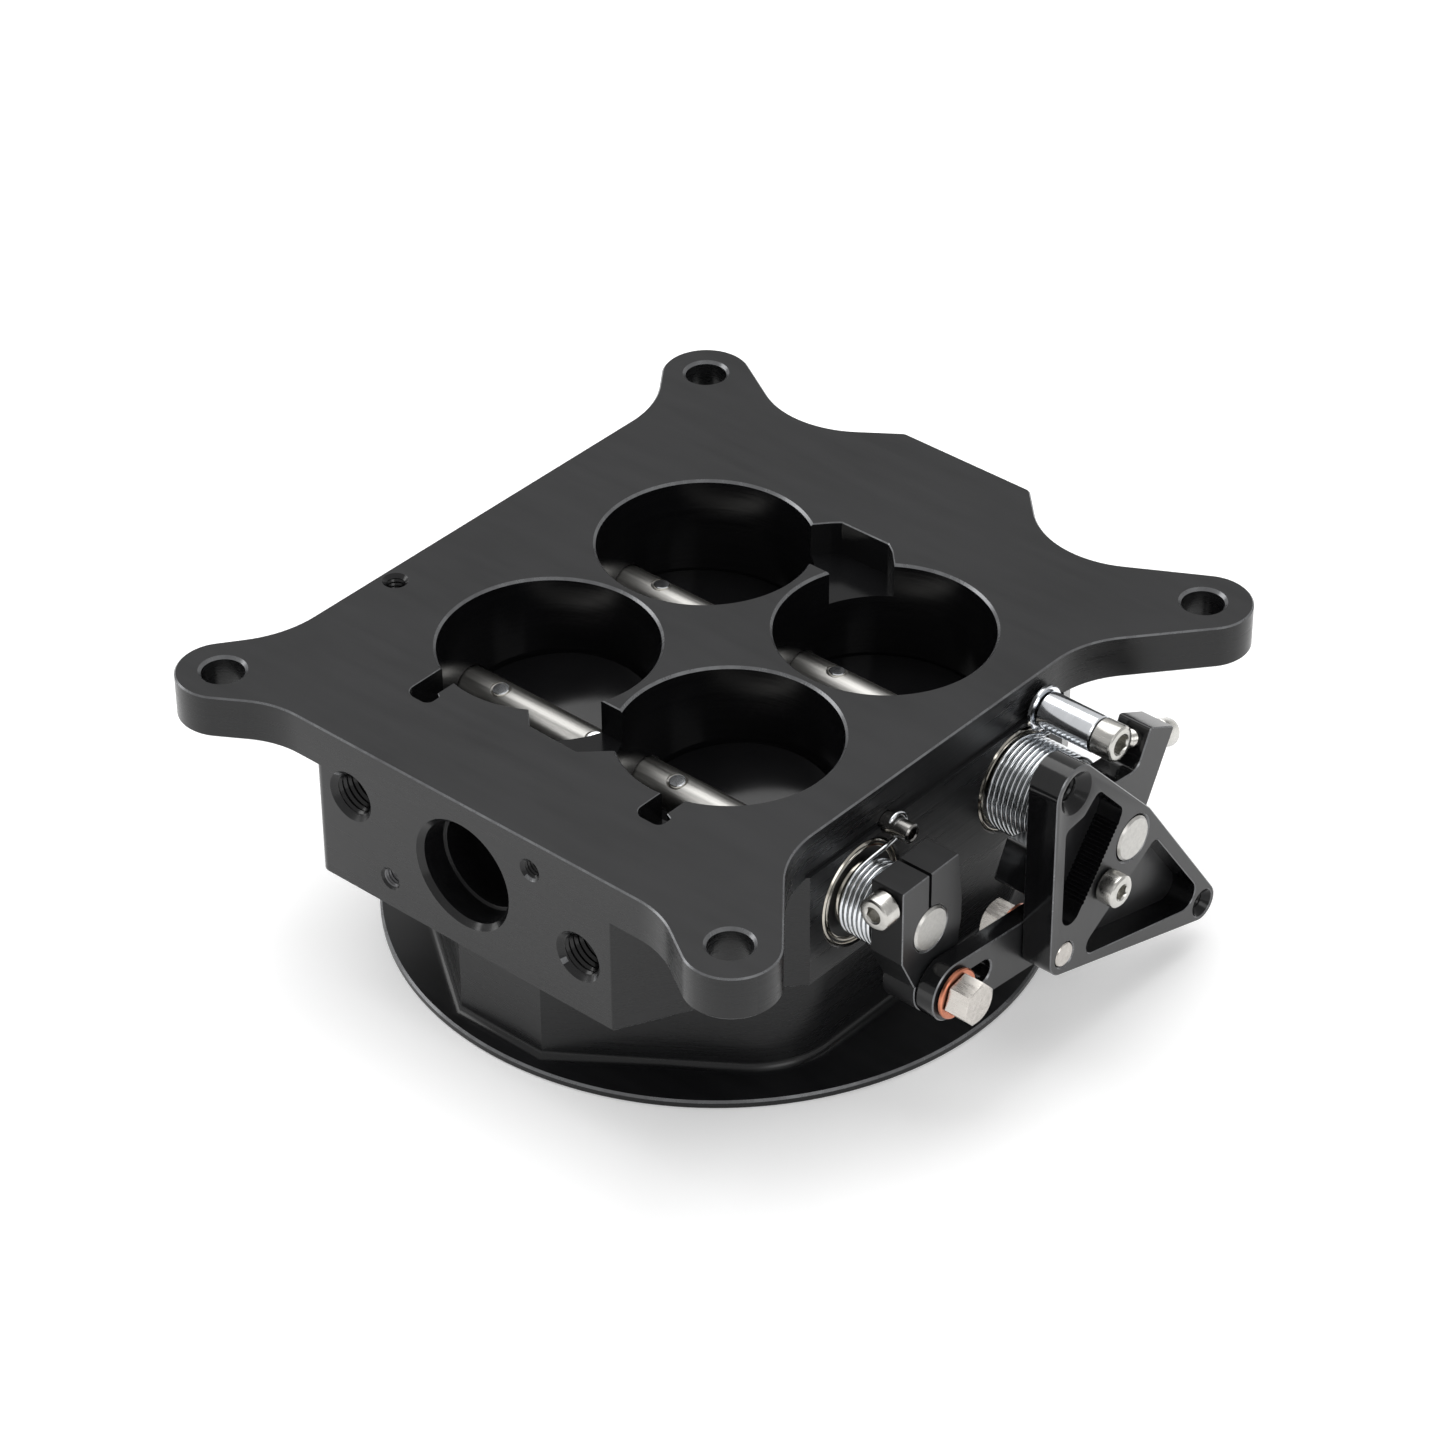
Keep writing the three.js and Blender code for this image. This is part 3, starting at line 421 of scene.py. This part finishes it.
def pick_house(c, n, area):
    # small slanted faces are chamfers with the bright edge colour, partly worn edge and partly painted highlight; one
    # threaded hole gets the bright thread colour as a painted glint and the other holes stay dark; bore walls are
    # turned, and they, the pocket walls and the pocket floors get the darker bore colour as painted shade
    for cy in ((-30.2, -12.9), (28.8, -21.5), (17, -7.0), (-20.5, -28)):
        if c.y < -57 and c.y > -72.3 and math.hypot(c.x - cy[0], c.z - cy[1]) < 5.2 and abs(n.y) < 0.95:
            # the hole at x -20.5 gets the bright thread colour as a painted glint; the other holes stay dark
            return 5 if cy[0] == -20.5 else 6
    if math.hypot(c.x + 0.8, c.z + 17.2) < 12.2 and -72.7 < c.y < -49 and abs(n.y) < 0.95:
        return 6
    if math.hypot(c.x + 0.8, c.z + 17.2) < 11.2 and -70 < c.y < -49:
        return 6
    if math.hypot(c.x + 61.3, c.y + 27.5) < 2.8 and -14 < c.z < -0.05 and abs(n.z) < 0.95:
        return 6
    # bore walls take the darker bore colour as painted shade
    for sx in (-1, 1):
        for sy in (-1, 1):
            d = math.hypot(c.x - sx * BORE_X, c.y - sy * BORE_Y)
            if d < BORE_R + 0.1 and abs(n.z) < 0.3 and c.z < -0.45:
                return 3
    slant = sorted((abs(n.x), abs(n.y), abs(n.z)))
    # chamfers take the bright edge colour, partly worn edge and partly painted highlight
    if area < 60 and 0.3 < abs(n.z) < 0.93 and (c.z > -1.0 or -9.6 < c.z < -9.0 or -35.2 < c.z < -34.6 or c.z < RING_TOP + 0.1 or -25 < c.z < -24.4):
        return 4
    # flat pocket floors and the pocket walls take the darker bore colour as painted shade
    if abs(n.z) > 0.98 and -8.0 < c.z < -0.5:
        return 3
    if abs(n.z) < 0.5 and -8.0 < c.z < -0.3 and abs(c.x) < 36 and 30 < abs(c.y) < 55:
        return 3
    if abs(n.z) > 0.98:
        return 1
    if abs(n.x) > 0.95 and abs(c.x) > 50 and c.z > BLOCK_BOTTOM:
        return 2
    return 0


done(house, "body_casting", "housing_body", ["housing"], ["body", "top", "wall", "bore", "edge", "thread", "thread_dark"], pick_house)

# ---------------------------------------------------------------- bearings
for tag, s in (("primary", 1), ("secondary", -1)):
    for side, e in (("right", 1), ("left", -1)):
        x0, x1 = e * (WALL_X - BEARING_W), e * WALL_X
        f = lambda t: x1 - e * t
        prof = [(f(0.3), BEARING_R), (f(0.0), BEARING_R - 0.3), (f(0.0), 10.6), (f(0.22), 10.5), (f(0.22), 10.2), (f(0.02), 10.1), (f(0.02), 9.75), (f(0.5), 9.6), (f(0.55), 9.5),
                (f(0.5), 7.05), (f(0.2), 6.95), (f(0.0), 6.85), (f(0.0), 5.5), (f(0.3), SHAFT_R + 0.1), (f(BEARING_W - 0.3), SHAFT_R + 0.1), (x0, 5.5), (x0, BEARING_R - 0.4), (f(BEARING_W - 0.4), BEARING_R)]
        b = lathe(prof, "x", (s * SHAFT_Y, SHAFT_Z), 96)
        cy = s * SHAFT_Y
        done(b, f"{tag}_ball_bearing_{side}", "housing_body", [f"{tag}_bearing_{side}"], ["race", "shield"],
             lambda c, n, a, cy=cy: 1 if (7.0 < math.hypot(c.y - cy, c.z - SHAFT_Z) < 9.53 or 10.2 < math.hypot(c.y - cy, c.z - SHAFT_Z) < 10.55) and abs(n.x) > 0.6 else 0)

# ---------------------------------------------------------------- shafts, blades, screws, clips
for tag, y, end, tilt, body in (("primary", SHAFT_Y, PRIMARY_END, -5, "primary_body"), ("secondary", -SHAFT_Y, SECONDARY_END, 10, "secondary_body")):
    t = math.radians(tilt)
    upv, outv = (-math.sin(t), math.cos(t)), (math.cos(t), math.sin(t))
    at = lambda x, a, b: (x, y + a * outv[0] + b * upv[0], SHAFT_Z + a * outv[1] + b * upv[1])
    nrm = (0, upv[0], upv[1])
    sh = lathe([(SHAFT_LEFT, 0), (SHAFT_LEFT, SHAFT_R - 0.6), (SHAFT_LEFT + 0.6, SHAFT_R), (-58.6, SHAFT_R), (-58.6, 3.9), (-56.9, 3.9), (-56.9, SHAFT_R),
                (end - 0.45, SHAFT_R), (end, SHAFT_R - 0.45), (end, 0)], "x", (y, SHAFT_Z), 72)
    tools = []
    rot = Matrix.Translation((0, y, SHAFT_Z)) @ Matrix.Rotation(t, 4, "X")
    for sx in (-1, 1):
        slot = prism([(sx * BORE_X - BLADE_R - GAP, -7), (sx * BORE_X + BLADE_R + GAP, -7), (sx * BORE_X + BLADE_R + GAP, 7), (sx * BORE_X - BLADE_R - GAP, 7)],
                     [(-BLADE_T / 2 - 0.05, 0), (BLADE_T / 2 + 0.05, 0)], "z")
        slot.data.transform(rot)
        tools.append(slot)
    for x in SCREW_X:
        tools.append(aim(lathe([(-7, 0), (-7, 1.75), (4.1, 1.75), (4.4, 2.2), (7, 2.2), (7, 0)], "z", (0, 0), 40), at(x, 0, 0), nrm))
    sh = boole(sh, tools)
    done(sh, f"{tag}_throttle_shaft", body, [f"{tag}_shaft"], ["shaft"], sharp=32)
    for side, sx in (("left", -1), ("right", 1)):
        d = lathe([(-BLADE_T / 2, 0), (-BLADE_T / 2, BLADE_R - 0.35), (-BLADE_T / 2 + 0.3, BLADE_R), (BLADE_T / 2 - 0.3, BLADE_R), (BLADE_T / 2, BLADE_R - 0.35), (BLADE_T / 2, 0)], "z", (0, 0), 128)
        d = aim(d, at(sx * BORE_X, 0, 0), nrm)
        d = boole(d, [aim(lathe([(-3, 0), (-3, 1.8), (3, 1.8), (3, 0)], "z", (0, 0), 24), at(x, 0, 0), nrm) for x in SCREW_X if x * sx > 0])
        done(d, f"{tag}_plate_{side}", body, [f"{tag}_blade_{side}"], ["blade"])
    for i, x in enumerate(SCREW_X):
        # staked tip above, low button head with a cross slot below
        sc = lathe([(-6.85, 0), (-6.85, 1.9), (-6.5, 2.5), (-5.9, 2.85), (-5.1, 2.9), (-5.1, 1.6), (4.1, 1.6), (4.15, 1.72), (4.72, 1.72), (4.86, 1.58), (4.86, 0)], "z", (0, 0), 40)
        cross = [prism([(-1.7, -0.28), (1.7, -0.28), (1.7, 0.28), (-1.7, 0.28)], [(-8, 0), (-6.1, 0)], "z"), prism([(-0.28, -1.7), (0.28, -1.7), (0.28, 1.7), (-0.28, 1.7)], [(-8, 0), (-6.1, 0)], "z")]
        sc = boole(sc, cross)
        aim(sc, at(x, 0, 0), nrm)
        done(sc, f"{tag}_plate_screw_{i + 1}", body, [f"{tag}_blade_screw_{i + 1}"], ["steel", "zinc"],
             lambda c, n, a, y=y, upv=upv: 1 if (c.y - y) * upv[0] + (c.z - SHAFT_Z) * upv[1] > 4.7 else 0)
    # open clip in its groove
    n, verts, faces = 44, [], []
    for k in range(n + 1):
        a = math.radians(-90 + 16 + (360 - 32) * k / n)
        for rr, xx in ((4.2, -58.25), (7.2, -58.3), (7.3, -58.2), (7.3, -57.3), (7.2, -57.2), (4.2, -57.25)):
            bulge = 0.35 if k in (0, 1, n - 1, n) and rr > 5 else 0
            verts.append((xx, y + (rr - bulge) * math.cos(a), SHAFT_Z + (rr - bulge) * math.sin(a)))
    for k in range(n):
        for j in range(6):
            faces.append((k * 6 + j, k * 6 + (j + 1) % 6, k * 6 + 6 + (j + 1) % 6, k * 6 + 6 + j))
    faces += [tuple(range(6))[::-1], tuple(range(n * 6, n * 6 + 6))]
    done(mesh(verts, faces), f"{tag}_clip", body, [f"{tag}_retaining_ring"], ["clip"])

# ---------------------------------------------------------------- return springs
def spring(cy, hook, hook_r, coil_r, wire, x0, x1, turns, leg, hx):
    cz = SHAFT_Z
    dy, dz = hook[0] - cy, hook[1] - cz
    alpha = math.acos((coil_r + hook_r) / math.hypot(dy, dz)) - math.atan2(dy, dz)
    start, end = alpha + math.pi / 2, math.radians(-60)
    while end < start + turns * 2 * math.pi:
        end += 2 * math.pi
    n = (-math.sin(alpha), math.cos(alpha))
    pts = []
    for k in range(25):
        a = alpha - math.pi / 2 + math.radians(leg) * (1 - k / 24)
        pts.append((hx, hook[0] + hook_r * math.cos(a), hook[1] + hook_r * math.sin(a)))
    tail, last = (cy + coil_r * n[0], cz + coil_r * n[1]), pts[-1]
    for q in (0.15, 0.35, 0.55, 0.75, 0.9):
        pts.append((hx + (x0 - hx) * q * q * (3 - 2 * q), last[1] + (tail[0] - last[1]) * q, last[2] + (tail[1] - last[2]) * q))
    steps = math.ceil((end - start) / (2 * math.pi) * 40)
    for k in range(steps + 1):
        a = start + (end - start) * k / steps
        pts.append((x0 + (x1 - x0) * k / steps, cy + coil_r * math.cos(a), cz + coil_r * math.sin(a)))
    e = end + 0.06
    for h in (0.7, 1.2, 1.9, 2.6):
        pts.append((x1 + h, cy + coil_r * math.cos(e), cz + coil_r * math.sin(e)))
    return tube_along(pts, wire, 12)


for tag, sp, x0, x1 in (("primary", spring(SHAFT_Y, POST, POST_R + 0.86, 9.8, 0.5, 57.4, 69.7, 10, 80, 59.2), 57.4, 69.7),
                        ("secondary", spring(-SHAFT_Y, PIN, PIN_R + 0.62, 7.6, 0.5, 57.7, 65.1, 5.9, 215, 58.6), 57.7, 65.1)):
    cy = SHAFT_Y if tag == "primary" else -SHAFT_Y
    done(sp, f"{tag}_coil_spring", "", [f"{tag}_return_spring"], ["wire"], sharp=60, ride=False)
    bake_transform(sp)

# ---------------------------------------------------------------- stop post, washer, screw, anchor pin
w = lathe([(WALL_X + GAP, 2.55), (WALL_X + GAP, 4.6), (57.15, 4.85), (57.85, 4.85), (58.1, 4.6), (58.1, 2.55)], "x", POST, 64)
done(w, "post_collar", "housing_body", ["stop_post_washer"], ["zinc"])
p = lathe([(58.4, 2.55), (58.4, 3.6), (58.7, 3.9), (70.95, 3.9), (71.2, 3.65), (71.2, 2.55)], "x", POST, 72)
done(p, "round_stop_post", "housing_body", ["stop_post"], ["zinc"])


def cap_screw(axis, c, h0, h1, r, shank_to, shank_r, key, depth, seg=64):
    """Socket-head screw with its head from h0 to h1, its shank running the other way."""
    e = 1 if h1 > h0 else -1
    prof = [(h1, 0), (h1, r - 0.75), (h1 - e * 0.12, r - 0.45), (h1 - e * 0.4, r - 0.12), (h1 - e * 0.75, r), (h0 + e * 0.25, r), (h0, r - 0.2), (h0, shank_r), (shank_to + e * 0.5, shank_r), (shank_to, shank_r - 0.4), (shank_to, 0)]
    s = lathe(prof, axis, c, seg)
    cone = lathe([(h1 + e * 1.0, 0), (h1 + e * 1.0, key * 1.18 + 1.1), (h1 - e * 0.35, key * 1.02), (h1 - e * 0.35, 0)], axis, c, 48)
    sock = prism(hexpts(c, key, 0.35), [(h1 - e * depth, 0), (h1 + e * 1.5, 0)] if e > 0 else [(h1 + e * 1.5, 0), (h1 - e * depth, 0)], axis)
    return boole(s, [cone, sock])


sc = cap_screw("x", POST, 71.5, 76.4, 3.85, 46.8, 2.2, 1.95, 2.6)
done(sc, "post_cap_screw", "housing_body", ["stop_post_screw"], ["steel"])
p = lathe([(50.2, 0), (50.2, PIN_R - 0.2), (50.4, PIN_R), (62.45, PIN_R), (62.8, PIN_R - 0.3), (62.8, 1.4), (62.5, 1.2), (60.3, 1.2), (60.0, 0)], "x", PIN, 48)
done(p, "spring_pin", "housing_body", ["spring_anchor_pin"], ["pin"])

# ---------------------------------------------------------------- primary lever
outline = hull(circ(LEVER_TOP, 5.9, 96) + circ((SHAFT_Y, SHAFT_Z), 6.8, 96) + circ(LEVER_RIGHT, 4.0, 72) + circ(PIVOT_REAR, 4.4, 72))
lever = prism(outline, [(78.6, -0.2), (78.8, 0), (85.4, 0), (85.6, -0.2)], "x")
p1 = rounded([(1.8, -7.4, 1.5), (1.7, -36.7, 2.9), (20.2, -12.3, 2.2), (11.8, -3.0, 1.6), (7.4, -6.7, 2)])
# fine teeth left by the cutter along the web between the two pockets
a, b = Vector((4.6, -33.0)), Vector((17.9, -15.3))
p1t, inside = [], False
for i, q in enumerate(p1):
    nq = Vector(p1[(i + 1) % len(p1)])
    p1t.append(q)
    if (nq - Vector(q)).length > 12 and nq.x > q[0] + 6 and nq.y > q[1] + 8:
        d = nq - Vector(q)
        k = int(d.length / 0.85)
        nn = Vector((d.y, -d.x)).normalized()
        for j in range(2, k - 1):
            m = Vector(q) + d * (j / k)
            p1t += [tuple(m + nn * 0.02), tuple(m + d * (0.45 / k) + nn * 0.42)]
p2 = rounded([(6.4, -41.0, 2.4), (50.3, -52.4, 3.3), (31.2, -25.6, 1.8)])
floor = 80.1
lever = boole(lever, [
    prism(p1t, [(floor, 0), (90, 0)], "x"),
    prism(p2, [(floor, 0), (85.42, 0), (85.6, 0.18), (90, 0.18)], "x"),
    lathe([(70, 0), (70, SHAFT_R + 0.22), (85.2, SHAFT_R + 0.22), (85.6, SHAFT_R + 0.6), (90, SHAFT_R + 0.6), (90, 0)], "x", (SHAFT_Y, SHAFT_Z), 72),
    lathe([(70, 0), (70, 2.5)] + threads(78.4, 83.2, 2.35, 0.35, 0.8) + [(83.4, 2.5), (83.6, 2.9), (85.5, 4.45), (85.6, 4.65), (90, 4.65), (90, 0)], "x", LEVER_TOP, 72),
    lathe([(70, 0), (70, 2.0)] + threads(78.4, 84.0, 1.9, 0.25, 0.7) + [(84.1, 2.1), (85.5, 3.05), (85.6, 3.2), (90, 3.2), (90, 0)], "x", LEVER_RIGHT, 56),
    lathe([(70, 0), (70, 2.75), (85.3, 2.75), (85.6, 3.05), (90, 3.05), (90, 0)], "x", PIVOT_REAR, 48),
    lathe([(70, 0), (70, 2.25), (90, 2.25), (90, 0)], "x", LEVER_SCREW, 40),
])


def pick_plate(c, n, a):
    # countersinks and holes stay glossy black, with the darker bore colour as painted shade
    for q, r in ((LEVER_TOP, 4.8), (LEVER_RIGHT, 2.9)):
        if math.hypot(c.y - q[0], c.z - q[1]) < r and abs(n.x) < 0.97:
            return 3
    if abs(n.x) > 0.97:
        return 0
    # chamfers take the bright edge colour, partly worn edge and partly painted highlight
    if 0.3 < abs(n.x) < 0.93 and a < 12 and (c.x > 85.2 or c.x < 79.0):
        return 2
    return 1


done(lever, "triangular_throttle_lever", "primary_body", ["primary_lever"], ["lever", "lever_side", "edge", "bore"], pick_plate)
done(cap_screw("x", LEVER_SCREW, 85.9, 89.8, 3.5, 72.4, 1.95, 1.5, 2.0), "lever_socket_screw", "primary_body", ["lever_cap_screw"], ["steel"])

# ---------------------------------------------------------------- stop hub, idle stop screw
dirv = Vector((0, 0.917, -0.399)).normalized()
stop_at = lambda d: Vector((STOP_X, POST[0] + 0.917 * d, POST[1] - 0.399 * d))
hub = prism(rounded([(38.0, -6.5, 0.6), (34.2, -14.4, 3.0), (27.0, -13.6, 3), (14.6, -20.4, 2), (3.3, -16.7, 0.6), (-0.6, -24.7, 0.6), (11.8, -31.0, 2), (14.6, -35.8, 2.5),
                     (24.0, -36.2, 3), (37.2, -26.5, 4), (45.7, -10.3, 0.6)]), [(70.5, -0.25), (70.75, 0), (78.05, 0), (78.3, -0.25)], "x")
zero = lambda prof, origin, d, seg=48: aim(lathe(prof, "z", (0, 0), seg), origin, d)


def tail_of(cy, coil_r):
    e = math.radians(-60) + 0.06
    return (cy + coil_r * math.cos(e), SHAFT_Z + coil_r * math.sin(e))


hub = boole(hub, [
    lathe([(60, 0), (60, SHAFT_R + 0.12), (90, SHAFT_R + 0.12), (90, 0)], "x", (SHAFT_Y, SHAFT_Z), 64),
    lathe([(60, 0), (60, 2.1), (90, 2.1), (90, 0)], "x", LEVER_SCREW, 32),
    zero([(3, 0), (3, 2.15), (24, 2.15), (24, 0)], stop_at(0), dirv),
    lathe([(69, 0), (69, 0.75), (73.4, 0.75), (73.4, 0)], "x", tail_of(SHAFT_Y, 9.8), 24),
])
# chamfers take the bright edge colour, partly worn edge and partly painted highlight
done(hub, "stop_lever_hub", "primary_body", ["stop_hub"], ["lever", "lever_side", "edge"],
     lambda c, n, a: 0 if abs(n.x) > 0.97 else (2 if 0.3 < abs(n.x) < 0.93 and a < 12 and (c.x > 77.8 or c.x < 71) else 1))
prof = [(4.2, 0), (4.2, 1.5), (4.6, 1.8)] + threads(4.8, 14.8, 1.72, 0.27, 0.8) + [(15.9, 1.8), (15.9, 2.75), (16.1, 2.95), (19.2, 2.95), (19.6, 2.85), (19.9, 2.5), (19.9, 0)]
st = zero(prof, stop_at(0), dirv, 56)
key = prism(hexpts((0, 0), 1.5), [(18.0, 0), (23, 0)], "z")
aim(key, stop_at(0), dirv)
done(boole(st, [key]), "idle_socket_screw", "primary_body", ["idle_stop_screw"], ["steel"])


def hex_head(c_h0, c_h1, flat, hole=None, turn=0.0, ends=(True, True)):
    """Hexagon along local Z with its corners turned off."""
    h = prism(hexpts((0, 0), flat, turn), [(c_h0, 0), (c_h1, 0)], "z")
    rc = flat / math.cos(math.pi / 6) + 0.02
    k = 0.42
    prof = [(c_h0, 0), (c_h0, flat - 0.15 if ends[0] else rc), (c_h0 + k, rc), (c_h1 - k, rc), (c_h1, flat - 0.15 if ends[1] else rc), (c_h1, 0)]
    h = boole(h, [lathe(prof, "z", (0, 0), 96)], "INTERSECT")
    if hole:
        h = boole(h, [lathe([(c_h0 - 1, 0), (c_h0 - 1, hole + 0.4), (c_h0, hole + 0.4), (c_h0 + 0.4, hole), (c_h1 - 0.4, hole), (c_h1, hole + 0.4), (c_h1 + 1, hole + 0.4), (c_h1 + 1, 0)], "z", (0, 0), 40)])
    return h


# ---------------------------------------------------------------- secondary lever and its clamp screw
cl = prism(rounded([(-31.9, -8.4, 0.4), (-31.9, -25.2, 1), (-28.0, -33.2, 1), (-15.9, -34.4), (-14.1, -24, 1), (-14.1, -19, 1), (-15.4, -8.2, 0.4)]), [(65.9, -0.2), (66.1, 0), (73.5, 0), (73.7, -0.2)], "x")
cl = boole(cl, [lathe([(65.9, 0), (65.9, 6.0), (66.1, 6.2), (73.5, 6.2), (73.7, 6.0), (73.7, 0)], "x", PIVOT_FRONT, 72)], "UNION")
cl = boole(cl, [
    lathe([(60, 0), (60, SHAFT_R + 0.1), (73.4, SHAFT_R + 0.1), (73.7, SHAFT_R + 0.4), (90, SHAFT_R + 0.4), (90, 0)], "x", (-SHAFT_Y, SHAFT_Z), 72),
    prism([(-24.3, -20), (-23.5, -20), (-23.5, 0), (-24.3, 0)], [(60, 0), (80, 0)], "x"),
    lathe([(-40, 0), (-40, 2.25), (-10, 2.25), (-10, 0)], "y", CLAMP_SCREW, 32),
    lathe([(60, 0), (60, 2.3), (80, 2.3), (80, 0)], "x", PIVOT_FRONT, 32),
    lathe([(60, 0), (60, 0.75), (68.8, 0.75), (68.8, 0)], "x", tail_of(-SHAFT_Y, 7.6), 24),
])
# chamfers take the bright edge colour, partly worn edge and partly painted highlight
done(cl, "secondary_clamp_lever", "secondary_body", ["secondary_lever"], ["lever", "clamp", "edge"],
     lambda c, n, a: (2 if 0.3 < abs(n.x) < 0.93 and a < 12 and (c.x > 73.2 or c.x < 66.3) else (0 if abs(n.x) > 0.97 else 1)))
done(cap_screw("y", CLAMP_SCREW, -32.2, -36.2, 3.45, -16.2, 2.0, 1.5, 2.2), "clamp_socket_screw", "secondary_body", ["clamp_screw"], ["steel"])

# ---------------------------------------------------------------- link bar, washers, bolts
ux, uz = PIVOT_REAR[0] - PIVOT_FRONT[0], PIVOT_REAR[1] - PIVOT_FRONT[1]
ln = math.hypot(ux, uz)
slot_end = (PIVOT_FRONT[0] + ux / ln * 9, PIVOT_FRONT[1] + uz / ln * 9)
bar = prism(hull(circ(PIVOT_FRONT, 6.2, 96) + circ(PIVOT_REAR, 6.2, 96)), [(74.1, -0.25), (74.35, 0), (78.05, 0), (78.3, -0.25)], "x")
bar = boole(bar, [
    prism(hull(circ(PIVOT_FRONT, 2.6, 64) + circ(slot_end, 2.6, 64)), [(70, 0.3), (74.1, 0.3), (74.4, 0), (78.0, 0), (78.3, 0.3), (82, 0.3)], "x"),
    lathe([(70, 0), (70, 2.75), (80, 2.75), (80, 0)], "x", PIVOT_REAR, 48),
])
# chamfers take the bright edge colour, partly worn edge and partly painted highlight
done(bar, "slotted_link", "link_body", ["link_bar"], ["lever", "lever_side", "edge"],
     lambda c, n, a: 0 if abs(n.x) > 0.97 else (2 if 0.3 < abs(n.x) < 0.93 and a < 12 else 1))
for nm, c, x0, x1, hole, body in (("front", PIVOT_FRONT, 78.6, 79.6, 2.6, "secondary_body"), ("rear", PIVOT_REAR, 72.7, 73.8, 2.8, "primary_body")):
    w = lathe([(x0, hole), (x0, 5.0), (x0 + 0.25, 5.3), (x1 - 0.25, 5.3), (x1, 5.0), (x1, hole)], "x", c, 72)
    done(w, f"{nm}_copper_washer", body, [f"copper_washer_{nm}"], ["copper"])
XAX = Matrix(((0, 0, 1, 0), (1, 0, 0, 0), (0, 1, 0, 0), (0, 0, 0, 1)))


def bolt(c, x0, x1, shank0, shank1, sr, ends):
    h = hex_head(x0, x1, 4.0, None, 0.2, ends)
    h = boole(h, [lathe([(shank0, 0), (shank0, sr - 0.2), (shank0 + 0.2, sr), (shank1 - 0.2, sr), (shank1, sr - 0.2), (shank1, 0)], "z", (0, 0), 56)], "UNION")
    h.data.transform(Matrix.Translation((0, c[0], c[1])) @ XAX)
    return h


done(bolt(PIVOT_FRONT, 79.9, 84.6, 78.7, 80.5, 2.25, (False, True)), "front_link_bolt", "secondary_body", ["link_bolt_front"], ["bolt"])
done(bolt(PIVOT_REAR, 67.9, 72.4, 72.0, 85.6, 2.6, (True, False)), "rear_link_bolt", "primary_body", ["link_bolt_rear"], ["bolt"])

# ---------------------------------------------------------------- floor and light
fl = bpy.data.meshes.new("floor")
FZ = RING_BOTTOM * MM
G, W = 24, 3.0
vs, fs = [], []
for i in range(G + 1):
    for j in range(G + 1):
        vs.append((-W + 2 * W * i / G, -W + 2 * W * j / G, FZ))
for i in range(G):
    for j in range(G):
        a = i * (G + 1) + j
        fs.append((a, a + G + 1, a + G + 2, a + 1))
fl.from_pydata(vs, [], fs)
floor_ob = bpy.data.objects.new("floor", fl)
scene.collection.objects.link(floor_ob)
fm = bpy.data.materials.new("paper_floor"); fm.use_nodes = True
N, L = fm.node_tree.nodes, fm.node_tree.links
nb = N["Principled BSDF"]
nb.inputs["Roughness"].default_value = 0.8
nb.inputs["Specular IOR Level"].default_value = 0.15
nb.inputs["Emission Color"].default_value = (1, 1, 1, 1)
nb.inputs["Emission Strength"].default_value = 0.22
nz = N.new("ShaderNodeTexNoise"); nz.inputs["Scale"].default_value = 6.0
rp = N.new("ShaderNodeValToRGB")
rp.color_ramp.elements[0].color = (0.90, 0.90, 0.90, 1); rp.color_ramp.elements[1].color = (0.93, 0.93, 0.93, 1)
L.new(nz.outputs["Fac"], rp.inputs["Fac"]); L.new(rp.outputs["Color"], nb.inputs["Base Color"])
fl.materials.append(fm)

world = bpy.data.worlds.new("studio"); scene.world = world
world.use_nodes = True
wb = world.node_tree.nodes["Background"]
wb.inputs["Color"].default_value = (1.0, 1.0, 1.0, 1)
wb.inputs["Strength"].default_value = 0.66


def area(name, loc, size, power, color=(1, 1, 1), target=(0, 0, -0.03), size_y=None):
    l = bpy.data.lights.new(name, "AREA")
    l.energy, l.color = power, color
    l.shape, l.size, l.size_y = "RECTANGLE", size, size_y or size
    o = bpy.data.objects.new(name, l)
    scene.collection.objects.link(o)
    o.location = loc
    o.rotation_mode = "QUATERNION"
    o.rotation_quaternion = (Vector(target) - Vector(loc)).to_track_quat("-Z", "Y")
    return o


area("overhead", (-0.25, 0.35, 1.5), 1.5, 16)
area("left_fill", (-1.5, -0.5, 0.9), 0.9, 8)
area("right_fill", (1.5, -0.5, 0.8), 0.8, 5)
scene.view_settings.view_transform = "Standard"
scene.view_settings.look = "None"
